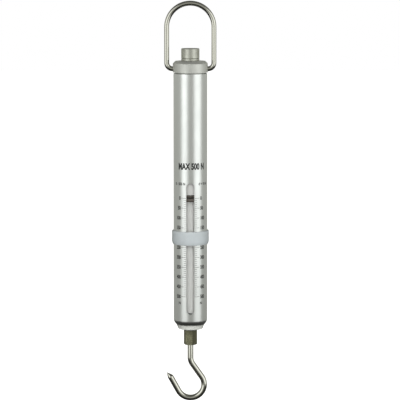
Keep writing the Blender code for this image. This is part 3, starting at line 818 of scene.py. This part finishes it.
class SPRINGSCALE_OT_casing(bpy.types.Operator):
    """Turn the casing, draw in its end, and mill the reading slot"""

    bl_idname = "spring_scale.casing"
    bl_label = "Casing"

    def execute(self, context):
        s = sizes()
        radius, top, end = TUBE_HIGH.x, TUBE_HIGH.z, TUBE_LOW.z
        ease, lip_ease, lip_flat, lip = 0.35 * MM, 0.25 * MM, 0.3 * MM, 1.6 * MM
        bend_r, lean = 5.0 * MM, 32.0
        bend_z = -316.8 * MM
        drawn_in = arc((radius - bend_r, bend_z), bend_r, 0.0, -lean, 10)
        last_r, last_z = drawn_in[-1]
        run = last_z - end - lip_ease
        lip_r = last_r - run * math.tan(math.radians(lean))
        inside_turn = 1.8 * MM
        outline = [(s.bore, top), (radius - ease, top), (radius, top - ease), *drawn_in]
        outline += [(lip_r, end + lip_ease), (lip_r - lip_flat, end), (s.mouth, end)]
        outline += [(s.mouth, end + lip), (s.bore, bend_z + inside_turn), (s.bore, top)]
        tube = turn("casing_tube", outline, s.facets)
        pick_up(tube)
        edit_all()
        bpy.ops.transform.rotate(
            value=math.pi / s.facets, orient_axis="Z", center_override=(0.0, 0.0, 0.0)
        )
        bpy.ops.object.mode_set(mode="OBJECT")
        cut_away(tube, self.slot_cutter())
        screw_low, screw_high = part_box("cap_set_screw")
        screw_z = (screw_low.z + screw_high.z) / 2
        cut_away(tube, bar(
            "screw_hole", (0.0, s.bore - PAST, screw_z), (0.0, radius + PAST, screw_z),
            SCREW_HOLE, 48,
        ))
        soften(tube, 0.14 * MM, 2, 50.0)
        smooth(tube, 40.0)
        hand_over(tube, "casing", "satin_aluminium", "tube")
        return {"FINISHED"}

    def slot_cutter(self):
        """An upright bar with round ends that passes through the front wall."""
        s = sizes()
        half = s.slot_width / 2
        front = -(TUBE_HIGH.x + 2.0 * MM)
        behind = -5.0 * MM
        middle = s.slot_top - half
        cutter = bar("slot_cutter", (0.0, front, middle), (0.0, behind, middle), half, 48)
        pick_up(cutter)
        bpy.ops.object.mode_set(mode="EDIT")
        bpy.ops.mesh.select_all(action="DESELECT")
        select_where(cutter, lambda co: co.z < middle - 1e-6)
        bpy.ops.transform.translate(value=(0.0, 0.0, (s.slot_end + half) - middle))
        close_up(cutter)
        return cutter


class SPRINGSCALE_OT_cap(bpy.types.Operator):
    """Turn the cap and drill it for the bail"""

    bl_idname = "spring_scale.cap"
    bl_label = "Cap"

    def execute(self, context):
        s = sizes()
        radius, top, spigot_end = CAP_HIGH.x, CAP_HIGH.z, CAP_LOW.z
        foot = TUBE_HIGH.z + SEAM
        spigot, bore = SPIGOT, SPINDLE_BORE
        cap = turn("cap", [
            (bore, top),
            (radius - s.cap_chamfer, top),
            (radius - 0.4 * MM, top - s.cap_chamfer + 0.5 * MM),
            (radius, top - s.cap_chamfer - 0.2 * MM),
            (radius, foot),
            (spigot, foot),
            (spigot, spigot_end),
            (bore, spigot_end),
            (bore, top),
        ], s.facets)
        hole_end, hole_play = 9.4 * MM, 0.22 * MM
        for side in (1.0, -1.0):
            cut_away(cap, bar(
                "bail_hole", (side * hole_end, 0.0, PIVOT_Z),
                (side * (radius + PAST), 0.0, PIVOT_Z), s.bail_wire / 2 + hole_play, 48,
            ))
        soften(cap, 0.28 * MM, 3, 24.0)
        smooth(cap, 40.0)
        hand_over(cap, "casing", "turned_aluminium", "top_cap")
        washer = turn("friction_washer", [
            (bore, WASHER_HIGH.z), (WASHER_HIGH.x, WASHER_HIGH.z),
            (WASHER_HIGH.x, WASHER_LOW.z), (bore, WASHER_LOW.z), (bore, WASHER_HIGH.z),
        ], 128)
        soften(washer, 0.22 * MM)
        smooth(washer, 40.0)
        hand_over(
            washer, "casing", "turned_aluminium", "tare_friction_washer", finish="knob_aluminium"
        )
        return {"FINISHED"}


class SPRINGSCALE_OT_knob(bpy.types.Operator):
    """Turn the tare knob with its rounded top edge"""

    bl_idname = "spring_scale.knob"
    bl_label = "Tare Knob"

    def execute(self, context):
        radius, top, foot = KNOB_HIGH.x, KNOB_HIGH.z, KNOB_LOW.z
        edge, bore, socket_top = 1.0 * MM, SPINDLE_BORE, -44.5 * MM
        foot_ease = 0.25 * MM
        outline = [(2.0 * MM, top), (radius - edge - 0.01 * MM, top)]
        outline += arc((radius - edge, top - edge), edge, 90.0, 0.0, 8)
        outline += [(radius, foot + foot_ease), (radius - foot_ease, foot), (bore, foot)]
        outline += [(bore, socket_top), (1.0 * MM, socket_top)]
        knob = turn("knob", outline, 144)
        screw_z = sum(c.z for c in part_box("knob_grub_screw")) / 2
        cut_away(knob, bar(
            "grub_hole", (0.0, 4.0 * MM, screw_z), (0.0, radius + PAST, screw_z), SCREW_HOLE, 40
        ))
        soften(knob, 0.10 * MM, 2, 40.0)
        smooth(knob, 32.0)
        hand_over(knob, "tare_screw", "turned_aluminium", "tare_knob", finish="knob_aluminium")
        return {"FINISHED"}


class SPRINGSCALE_OT_screws(bpy.types.Operator):
    """Make the socket screws at the back of the cap and the knob"""

    bl_idname = "spring_scale.screws"
    bl_label = "Socket Screws"

    def execute(self, context):
        for node, body in (("cap_set_screw", "casing"), ("knob_grub_screw", "tare_screw")):
            low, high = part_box(node)
            height = (low.z + high.z) / 2
            radius = (high.z - low.z) / 2
            screw = bar(f"{node}_socket", (0.0, low.y, height), (0.0, high.y, height), radius, 48)
            pick_up(screw)
            bpy.ops.object.mode_set(mode="EDIT")
            select_where(screw, lambda co: co.y > high.y - 1e-6)
            bpy.ops.mesh.inset(thickness=0.22 * MM, depth=0.0)
            bpy.ops.object.mode_set(mode="OBJECT")
            cut_away(screw, bar(
                "socket", (0.0, high.y - 1.6 * MM, height), (0.0, high.y + PAST, height),
                0.85 * MM, 6,
            ))
            soften(screw, 0.08 * MM, 2)
            smooth(screw)
            hand_over(screw, body, "steel", node)
        return {"FINISHED"}


class SPRINGSCALE_OT_bush(bpy.types.Operator):
    """Turn the pale nose bush"""

    bl_idname = "spring_scale.bush"
    bl_label = "Bottom Bush"

    def execute(self, context):
        top, end = BUSH_HIGH.z, BUSH_LOW.z
        shoulder_r = BUSH_HIGH.x
        shoulder_z = TUBE_LOW.z - 0.6 * MM
        spigot, bore = 12.5 * MM, 6.3 * MM
        rim_r, rim_z = 12.9 * MM, end + 2.6 * MM
        nose_r = 7.4 * MM
        outline = [
            (bore, top), (spigot, top), (spigot, shoulder_z), (shoulder_r, shoulder_z),
            (rim_r, rim_z + 0.3 * MM),
        ]
        outline += arc((rim_r - 1.35 * MM, rim_z + 0.02 * MM), 1.35 * MM, -8.0, -64.0, 6)
        outline += [(nose_r + 1.3 * MM, end + 0.62 * MM), (nose_r, end), (bore, end), (bore, top)]
        bush = turn("nose_bush", outline, sizes().facets)
        soften(bush, 0.16 * MM, 3, 34.0)
        smooth(bush, 36.0)
        hand_over(bush, "casing", "white_plastic", "bottom_bush")
        return {"FINISHED"}


class SPRINGSCALE_OT_pointer(bpy.types.Operator):
    """Turn the dark pointer with the groove for its index ring"""

    bl_idname = "spring_scale.pointer"
    bl_label = "Pointer"

    def execute(self, context):
        radius, top, end = POINTER_HIGH.x, POINTER_HIGH.z, POINTER_LOW.z
        zero, bore = sizes().zero, 4.3 * MM
        groove_r, half = INDEX_GROOVE, 0.65 * MM
        shallow = radius - 0.7 * MM
        step, full = 0.5 * MM, 0.8 * MM
        outline = [(bore, top), (shallow, top), (shallow, top - step), (radius, top - full)]
        outline += [(radius, zero + half), (groove_r, zero + half)]
        outline += [(groove_r, zero - half), (radius, zero - half)]
        outline += [(radius, end + full), (shallow, end + step), (shallow, end)]
        outline += [(bore, end), (bore, top)]
        pointer = turn("pointer", outline, 144)
        soften(pointer, 0.10 * MM, 2, 30.0)
        smooth(pointer)
        hand_over(pointer, "load_train", "dark_plastic", "pointer_piston")
        return {"FINISHED"}


class SPRINGSCALE_OT_index_ring(bpy.types.Operator):
    """Swing the rubber index ring round the pointer"""

    bl_idname = "spring_scale.index_ring"
    bl_label = "Index Ring"

    def execute(self, context):
        middle = (INDEX_LOW.z + INDEX_HIGH.z) / 2
        outer, inner = INDEX_HIGH.x, 12.9 * MM
        half = (INDEX_HIGH.z - INDEX_LOW.z) / 2
        put_down()
        bpy.ops.mesh.primitive_torus_add(
            major_segments=144, minor_segments=24, location=(0.0, 0.0, middle),
            major_radius=(outer + inner) / 2, minor_radius=(outer - inner) / 2,
        )
        ring = bpy.context.object
        ring.name = "index_o_ring"
        bpy.ops.object.transform_apply(location=True, rotation=True, scale=True)
        edit_all()
        squeeze = half / ((outer - inner) / 2)
        bpy.ops.transform.resize(value=(1.0, 1.0, squeeze), center_override=(0.0, 0.0, middle))
        close_up(ring)
        smooth(ring, 60.0)
        hand_over(ring, "load_train", "black_rubber", "index_ring")
        return {"FINISHED"}


class SPRINGSCALE_OT_rod(bpy.types.Operator):
    """Turn the pull rod and the spring's lower plug"""

    bl_idname = "spring_scale.rod"
    bl_label = "Pull Rod"

    def execute(self, context):
        neck, radius, stud = 4.0 * MM, ROD_HIGH.x, 4.0 * MM
        shoulder, foot = POINTER_LOW.z - PLAY, HEX_HIGH.z + PLAY
        rod = turn("pull_rod_turned", [
            (neck, ROD_HIGH.z), (neck, shoulder), (radius, shoulder), (radius, foot),
            (stud, foot), (stud, ROD_LOW.z),
        ], 96)
        soften(rod, 0.25 * MM, 3, 40.0)
        smooth(rod)
        hand_over(rod, "load_train", "rod_aluminium", "pull_rod")
        core, collar = 9.3 * MM, LOWER_PLUG_HIGH.x
        plug = turn("spring_plug_turned", [
            (core, LOWER_PLUG_HIGH.z), (core, PLUG_COLLAR_Z),
            (collar, PLUG_COLLAR_Z), (collar, LOWER_PLUG_LOW.z),
        ], 128)
        soften(plug, 0.35 * MM, 3, 40.0)
        smooth(plug)
        hand_over(plug, "load_train", "rod_aluminium", "spring_lower_plug", finish="plug_aluminium")
        return {"FINISHED"}


class SPRINGSCALE_OT_spring(bpy.types.Operator):
    """Wind the close-coiled main spring"""

    bl_idname = "spring_scale.spring"
    bl_label = "Main Spring"

    def execute(self, context):
        s = sizes()
        radius = s.spring_wire / 2
        top = SPRING_HIGH.z - radius
        pitch = (top - (SPRING_LOW.z + radius)) / s.spring_turns
        put_down()
        bpy.ops.mesh.primitive_circle_add(
            vertices=14, radius=radius, fill_type="NOTHING",
            location=(s.spring_radius, 0.0, top), rotation=(math.pi / 2, 0.0, 0.0),
        )
        spring = bpy.context.object
        spring.name = "coiled_spring"
        bpy.ops.object.transform_apply(location=True, rotation=True, scale=True)
        wind = spring.modifiers.new("wind", "SCREW")
        wind.axis = "Z"
        wind.angle = math.tau * s.spring_turns
        wind.screw_offset = -pitch * s.spring_turns
        wind.steps = wind.render_steps = round(40 * s.spring_turns)
        wind.merge_threshold = 1e-6
        apply_change(spring, wind)
        bpy.ops.object.mode_set(mode="EDIT")
        for turns in (0.0, s.spring_turns):
            round_by = math.tau * turns
            centre = Vector((
                s.spring_radius * math.cos(round_by), s.spring_radius * math.sin(round_by),
                top - pitch * turns,
            ))
            across = Vector((-centre.y, centre.x, 0.0)).normalized()
            select_where(spring, lambda co: (
                (co - centre).length < radius * 1.02 and abs((co - centre).dot(across)) < 1e-6
            ))
            bpy.ops.mesh.edge_face_add()
        close_up(spring)
        smooth(spring, 50.0)
        hand_over(spring, "spring_carrier", "spring_steel", "main_spring")
        spring.parent = None
        end = top - pitch * s.spring_turns
        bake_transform(spring, "spring_carrier", "load_train", (0.0, 0.0, top), (0.0, 0.0, end))
        self.keep_wire_round(spring, top, pitch)
        return {"FINISHED"}

    def keep_wire_round(self, spring, top, pitch):
        """Gives every point of one wire section the same share of the stretch, so that the
        coils move apart and their wire stays round. The end coils stay on their plugs."""
        turns = sizes().spring_turns
        held = 1.5
        attribute = spring.data.attributes["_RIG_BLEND"]
        for vertex, stretch in zip(spring.data.vertices, attribute.data):
            round_share = (math.atan2(vertex.co.y, vertex.co.x) / math.tau) % 1.0
            down = (top - vertex.co.z) / pitch
            along = round(down - round_share) + round_share
            stretch.value = min(1.0, max(0.0, (along - held) / (turns - 2 * held)))


class SPRINGSCALE_OT_coupling(bpy.types.Operator):
    """Mill the hexagonal coupling and turn its chamfers"""

    bl_idname = "spring_scale.coupling"
    bl_label = "Hexagonal Coupling"

    def execute(self, context):
        s = sizes()
        top, end = HEX_HIGH.z, HEX_LOW.z
        corner = s.hex_flats / 2 / math.cos(math.pi / 6)
        put_down()
        bpy.ops.mesh.primitive_cylinder_add(
            vertices=6, radius=corner, depth=top - end, location=(0.0, 0.0, (top + end) / 2)
        )
        hexagon = bpy.context.object
        hexagon.name = "coupling_hexagon"
        bpy.ops.object.transform_apply(location=True, rotation=True, scale=True)
        first = hexagon.data.vertices[0].co
        flat = frame["record"]["mounts"][1]["axis"]
        turn_by = math.atan2(flat[1], flat[0]) + math.pi / 6 - math.atan2(first.y, first.x)
        hexagon.rotation_euler.z = turn_by
        bpy.ops.object.transform_apply(location=True, rotation=True, scale=True)
        over = 0.3 * MM
        outside = corner + over
        drop = (s.hex_chamfer + over) * math.tan(math.radians(30.0))
        stud_bore, shank_bore = 4.3 * MM, s.hook_wire / 2 + PLAY
        cut_away(hexagon, turn("chamfer", [
            (corner - s.hex_chamfer, top + 0.0001 * MM), (outside, top - drop),
            (outside, end + drop), (corner - s.hex_chamfer, end - 0.0001 * MM),
        ], 128), "INTERSECT")
        cut_away(hexagon, turn("bore", [
            (stud_bore, top + PAST), (stud_bore, CAVITY_TOP_Z), (CAVITY, CAVITY_TOP_Z),
            (CAVITY, CAVITY_END_Z), (shank_bore, CAVITY_END_Z), (shank_bore, end - PAST),
        ], 64))
        soften(hexagon, 0.16 * MM, 3, 20.0)
        smooth(hexagon, 32.0)
        hand_over(hexagon, "load_train", "bronzed_steel", "hex_coupling")
        return {"FINISHED"}


class SPRINGSCALE_OT_hook(bpy.types.Operator):
    """Bend the hook from one wire and grind its point"""

    bl_idname = "spring_scale.hook"
    bl_label = "Hook"

    def execute(self, context):
        s = sizes()
        radius = s.hook_wire / 2
        lean, tip_lean = 35.0, 29.0
        bowl_z = HOOK_LOW.z + radius + s.hook_bowl
        leaning = math.radians(lean)
        neck_x = s.hook_neck * (1.0 - math.cos(leaning))
        tangent_x = s.hook_bowl * math.cos(leaning)
        tangent_z = bowl_z + s.hook_bowl * math.sin(leaning)
        straight = (tangent_x - neck_x) / math.sin(leaning)
        neck_z = tangent_z + straight * math.cos(leaning)
        shank = HOOK_HIGH.z - (neck_z + s.hook_neck * math.sin(leaning))
        hook = sweep_wire("hook_wire", radius, (0.0, HOOK_HIGH.z), -90.0, [
            ("run", shank),
            ("bend", s.hook_neck, lean),
            ("run", straight),
            ("bend", s.hook_bowl, -(lean + 180.0 - tip_lean)),
            ("run", s.hook_run - s.hook_point),
            *self.point_moves(s.hook_point, s.hook_point_side),
        ], 48)
        smooth(hook, 50.0)
        hand_over(hook, "hook", "polished_wire", "hook")
        return {"FINISHED"}

    def point_moves(self, point, side):
        """The ground point: full-bodied at first, blunt at the tip, and ground from one side."""
        steps = 14
        shares = [i / steps for i in range(steps + 1)]
        thickness = [max(0.08, 1.0 - share**1.25) for share in shares]
        return [
            ("taper", point / steps, after / before, side * (before - after))
            for before, after in zip(thickness, thickness[1:])
        ]


class SPRINGSCALE_OT_drag_ring(bpy.types.Operator):
    """Turn the drag ring with its fine grooves"""

    bl_idname = "spring_scale.drag_ring"
    bl_label = "Drag Ring"

    def execute(self, context):
        radius, top, end = RING_HIGH.x, RING_HIGH.z, RING_LOW.z
        bore, groove = 17.3 * MM, 0.10 * MM
        outline = [(bore, top), (radius - 0.45 * MM, top), (radius, top - 0.45 * MM)]
        for count in range(4):
            upper = top - 3.4 * MM - count * 1.5 * MM
            outline += [
                (radius, upper), (radius - groove, upper - 0.12 * MM),
                (radius - groove, upper - 0.38 * MM), (radius, upper - 0.5 * MM),
            ]
        outline += [(radius, end + 2.6 * MM), (radius - 0.9 * MM, end), (bore, end), (bore, top)]
        ring = turn("drag_ring_moulded", outline, sizes().facets)
        soften(ring, 0.16 * MM, 3, 60.0)
        smooth(ring, 50.0)
        hand_over(ring, "drag_ring", "light_plastic", "drag_ring")
        pusher = frame["nodes"]["drag_ring_pusher"]
        pusher.data.materials.clear()
        pusher.data.materials.append(material_for("light_plastic"))
        return {"FINISHED"}


class SPRINGSCALE_OT_marks(bpy.types.Operator):
    """Print the scale and its figures on the casing"""

    bl_idname = "spring_scale.marks"
    bl_label = "Printed Marks"

    def execute(self, context):
        s, ink = sizes(), "printed_ink"
        hand_over(self.ticks(), "casing", "dark_plastic", finish=ink)
        figures = []
        for newtons in range(0, 501, 50):
            height = s.zero - newtons / 10 * s.step
            for x, align in ((-10.4 * MM, "RIGHT"), (10.6 * MM, "LEFT")):
                figures.append(self.words(str(newtons), (x, height), 3.9 * MM, 0.70, align, 0.040))
        hand_over(self.joined(figures, "scale_figures"), "casing", "dark_plastic", finish=ink)
        title_place = (1.3 * MM, -159.7 * MM)
        title = self.words(stage().title, title_place, 6.9 * MM, 0.66, "CENTER", 0.048)
        hand_over(self.joined([title], "capacity_mark"), "casing", "dark_plastic", finish=ink)
        range_z, unit_z = -177.4 * MM, -298.3 * MM
        small = [
            self.words("0 - 500 N", (-5.2 * MM, range_z), 2.9 * MM, 0.80, "RIGHT"),
            self.words("d = 10 N", (8.6 * MM, range_z), 2.9 * MM, 0.80, "LEFT"),
            self.words("N", (-11.6 * MM, unit_z), 2.8 * MM, 0.95, "CENTER"),
            self.words("N", (11.6 * MM, unit_z), 2.8 * MM, 0.95, "CENTER"),
        ]
        hand_over(self.joined(small, "unit_marks"), "casing", "dark_plastic", finish=ink)
        return {"FINISHED"}

    def ticks(self):
        """Short marks every 10 newtons and long ones every 50, on both sides of the slot."""
        s = sizes()
        strips = []
        for count in range(51):
            height = s.zero - count * s.step
            long_one = count % 5 == 0
            reach = 9.6 * MM if long_one else 6.9 * MM
            thick = 0.34 * MM if long_one else 0.30 * MM
            for side in (-1.0, 1.0):
                inner, outer = sorted((side * 4.35 * MM, side * reach))
                strips.append(self.strip(inner, outer, height, thick))
        return self.joined(strips, "scale_ticks")

    def strip(self, left, right, height, thick):
        put_down()
        bpy.ops.mesh.primitive_plane_add(
            size=1.0, location=((left + right) / 2, 0.0, height), rotation=(math.pi / 2, 0.0, 0.0)
        )
        piece = bpy.context.object
        piece.scale = (right - left, thick, 1.0)
        bpy.ops.object.transform_apply(location=True, rotation=True, scale=True)
        return piece

    def words(self, text, place, height, narrow, align, bold=0.030):
        """A line of figures as a flat mesh, its middle at the given height."""
        put_down()
        bpy.ops.object.text_add(rotation=(math.pi / 2, 0.0, 0.0))
        piece = bpy.context.object
        curve = piece.data
        curve.body = text
        curve.align_x = align
        curve.align_y = "CENTER"
        curve.resolution_u = 4
        curve.offset = bold
        curve.size = 1.0
        bpy.ops.object.convert(target="MESH")
        piece = bpy.context.object
        bpy.ops.object.transform_apply(location=True, rotation=True, scale=True)
        heights = [v.co.z for v in piece.data.vertices]
        middle = (max(heights) + min(heights)) / 2
        grow = height / (max(heights) - min(heights))
        edit_all()
        bpy.ops.transform.translate(value=(0.0, 0.0, -middle))
        bpy.ops.transform.resize(value=(grow * narrow, 1.0, grow), center_override=(0.0, 0.0, 0.0))
        bpy.ops.transform.translate(value=(place[0], 0.0, place[1]))
        bpy.ops.object.mode_set(mode="OBJECT")
        return piece

    def joined(self, parts, name):
        """One flat mesh of all the parts, cut into narrow columns, laid round the casing and
        given the ink's thickness."""
        put_down()
        for part in parts:
            part.select_set(True)
        bpy.context.view_layer.objects.active = parts[0]
        if len(parts) > 1:
            bpy.ops.object.join()
        piece = bpy.context.object
        piece.name = name
        edit_all()
        bpy.ops.mesh.remove_doubles(threshold=1e-6)
        step = 0.7 * MM
        widest = max(abs(v.co.x) for v in bmesh.from_edit_mesh(piece.data).verts)
        columns = int(widest / step) + 1
        for column in range(-columns, columns + 1):
            bpy.ops.mesh.select_all(action="SELECT")
            bpy.ops.mesh.bisect(
                plane_co=((column + 0.5) * step, 0.0, 0.0), plane_no=(1.0, 0.0, 0.0)
            )
        bpy.ops.object.mode_set(mode="OBJECT")
        radius = TUBE_HIGH.x + sizes().ink
        for vertex in piece.data.vertices:
            angle = vertex.co.x / TUBE_HIGH.x
            vertex.co = (radius * math.sin(angle), -radius * math.cos(angle), vertex.co.z)
        pick_up(piece)
        edit_all()
        bpy.ops.mesh.normals_make_consistent(inside=False)
        bpy.ops.object.mode_set(mode="OBJECT")
        outward = sum(
            p.normal.dot(Vector((p.center.x, p.center.y, 0.0))) for p in piece.data.polygons
        )
        if outward < 0.0:
            edit_all()
            bpy.ops.mesh.flip_normals()
            bpy.ops.object.mode_set(mode="OBJECT")
        thicken = piece.modifiers.new("ink_thickness", "SOLIDIFY")
        thicken.thickness = sizes().ink * 1.6
        thicken.offset = -1.0
        apply_change(piece, thicken)
        return piece


class SPRINGSCALE_OT_inner_parts(bpy.types.Operator):
    """Give the pieces inside the casing their finishes"""

    bl_idname = "spring_scale.inner_parts"
    bl_label = "Inner Parts"

    def execute(self, context):
        slots = {part["node"]: part["material_slot"] for part in frame["record"]["subparts"]}
        for name, node in frame["nodes"].items():
            if not node.hide_render:
                node.data.materials.clear()
                node.data.materials.append(material_for(slots[name]))
        return {"FINISHED"}


class SPRINGSCALE_OT_stage(bpy.types.Operator):
    """Set up the floor, the lights and the camera"""

    bl_idname = "spring_scale.stage"
    bl_label = "Stage"

    def execute(self, context):
        self.floor()
        self.room()
        self.lights()
        self.camera(context)
        context.scene.view_settings.view_transform = "Standard"
        context.scene.view_settings.look = "None"
        return {"FINISHED"}

    def floor(self):
        put_down()
        bpy.ops.mesh.primitive_circle_add(
            vertices=96, radius=9.0, fill_type="NGON", location=(0.0, 0.0, stage().floor_z)
        )
        floor = bpy.context.object
        floor.name = "floor"
        material, shader, _ = start_material("pale_floor", 0.9, 0.0)
        shader.inputs["Base Color"].default_value = (0.86, 0.86, 0.85, 1.0)
        shader.inputs["Emission Color"].default_value = (1.0, 1.0, 0.995, 1.0)
        shader.inputs["Emission Strength"].default_value = 1.0
        floor.data.materials.append(material)
        floor.visible_glossy = False
        floor.visible_diffuse = False

    def room(self):
        """A white backdrop for the camera, and a studio, darker above and below, for the rest."""
        world = bpy.data.worlds.new("studio_room")
        bpy.context.scene.world = world
        world.use_nodes = True
        words = Tree(world.node_tree)
        studio = world.node_tree.nodes["Background"]
        place = words.node("ShaderNodeTexCoord").outputs["Generated"]
        apart = words.node("ShaderNodeSeparateXYZ")
        words.join(place, apart.inputs[0])
        level = words.maths("ADD", words.maths("MULTIPLY", apart.outputs["Z"], 0.5), 0.5)
        glow = words.ramp(
            level, (0.0, 0.04), (0.33, 0.10), (0.41, 0.72), (0.47, 0.92), (0.56, 1.0),
            (0.74, 0.50), (1.0, 0.15),
        )
        tinted = words.between(1.0, glow, (0.985, 1.0, 0.925), "MULTIPLY")
        words.join(tinted, studio.inputs["Color"])
        studio.inputs["Strength"].default_value = stage().room
        white = words.node("ShaderNodeBackground")
        white.inputs["Color"].default_value = (1.0, 1.0, 1.0, 1.0)
        mix = words.node("ShaderNodeMixShader")
        words.join(words.node("ShaderNodeLightPath").outputs["Is Camera Ray"], mix.inputs["Fac"])
        words.join(studio.outputs[0], mix.inputs[1])
        words.join(white.outputs[0], mix.inputs[2])
        output = next(n for n in world.node_tree.nodes if n.type == "OUTPUT_WORLD")
        words.join(mix.outputs[0], output.inputs["Surface"])

    def lights(self):
        """A tall soft box on each side of the camera, and a fill that metal doesn't mirror."""
        s = stage()
        self.soft_box("left_box", -40.0, 1.12, 1.6, s.left_light)
        self.soft_box("right_box", 51.0, 1.38, 1.6, s.right_light)
        fill = self.soft_box("fill_box", 3.0, 0.60, 1.2, s.fill_light)
        fill.visible_glossy = False

    def soft_box(self, name, azimuth, wide, tall, radiance):
        """An area light at one azimuth from the camera's side, aimed at the casing."""
        put_down()
        angle, away, raised = math.radians(azimuth), 1.5, 0.20
        aim = Vector((0.0, 0.0, -0.12))
        place = aim + Vector((math.sin(angle) * away, -math.cos(angle) * away, raised))
        bpy.ops.object.light_add(type="AREA", location=place)
        box = bpy.context.object
        box.name = name
        box.rotation_euler = (aim - place).to_track_quat("-Z", "Y").to_euler()
        box.data.shape = "RECTANGLE"
        box.data.size = wide
        box.data.size_y = tall
        box.data.energy = radiance * math.pi * wide * tall
        box.data.color = (0.975, 1.0, 0.995)
        return box

    def camera(self, context):
        put_down()
        s = stage()
        place = Vector((s.camera_x, -s.distance, s.camera_z))
        aim = Vector((s.camera_x, 0.0, s.aim_z))
        bpy.ops.object.camera_add(location=place)
        camera = bpy.context.object
        camera.rotation_euler = (aim - place).to_track_quat("-Z", "Y").to_euler()
        camera.data.sensor_width = 36.0
        camera.data.lens = s.lens
        context.scene.camera = camera


PIECES = (
    SPRINGSCALE_OT_bail,
    SPRINGSCALE_OT_casing,
    SPRINGSCALE_OT_cap,
    SPRINGSCALE_OT_knob,
    SPRINGSCALE_OT_screws,
    SPRINGSCALE_OT_bush,
    SPRINGSCALE_OT_pointer,
    SPRINGSCALE_OT_index_ring,
    SPRINGSCALE_OT_rod,
    SPRINGSCALE_OT_spring,
    SPRINGSCALE_OT_coupling,
    SPRINGSCALE_OT_hook,
    SPRINGSCALE_OT_drag_ring,
    SPRINGSCALE_OT_marks,
    SPRINGSCALE_OT_inner_parts,
    SPRINGSCALE_OT_stage,
)


class SPRINGSCALE_PT_panel(bpy.types.Panel):
    """The sidebar's list of pieces"""

    bl_idname = "SPRINGSCALE_PT_panel"
    bl_label = "Spring Scale"
    bl_space_type = "VIEW_3D"
    bl_region_type = "UI"
    bl_category = "Spring Scale"

    def draw(self, context):
        for piece in PIECES:
            self.layout.operator(piece.bl_idname)
        for values in (sizes(), finishes(), stage()):
            box = self.layout.box()
            for name in values.bl_rna.properties.keys():
                if name not in ("rna_type", "name"):
                    box.prop(values, name)


CLASSES = (SpringScaleSizes, SpringScaleFinishes, SpringScaleStage, *PIECES, SPRINGSCALE_PT_panel)


def register():
    for made in CLASSES:
        bpy.utils.register_class(made)
    bpy.types.Scene.spring_scale_sizes = PointerProperty(type=SpringScaleSizes)
    bpy.types.Scene.spring_scale_finishes = PointerProperty(type=SpringScaleFinishes)
    bpy.types.Scene.spring_scale_stage = PointerProperty(type=SpringScaleStage)


def unregister():
    del bpy.types.Scene.spring_scale_stage
    del bpy.types.Scene.spring_scale_finishes
    del bpy.types.Scene.spring_scale_sizes
    for made in reversed(CLASSES):
        bpy.utils.unregister_class(made)


def main():
    register()
    for piece in PIECES:
        group_name, name = piece.bl_idname.split(".")
        getattr(getattr(bpy.ops, group_name), name)()


if __name__ == "__main__":
    main()
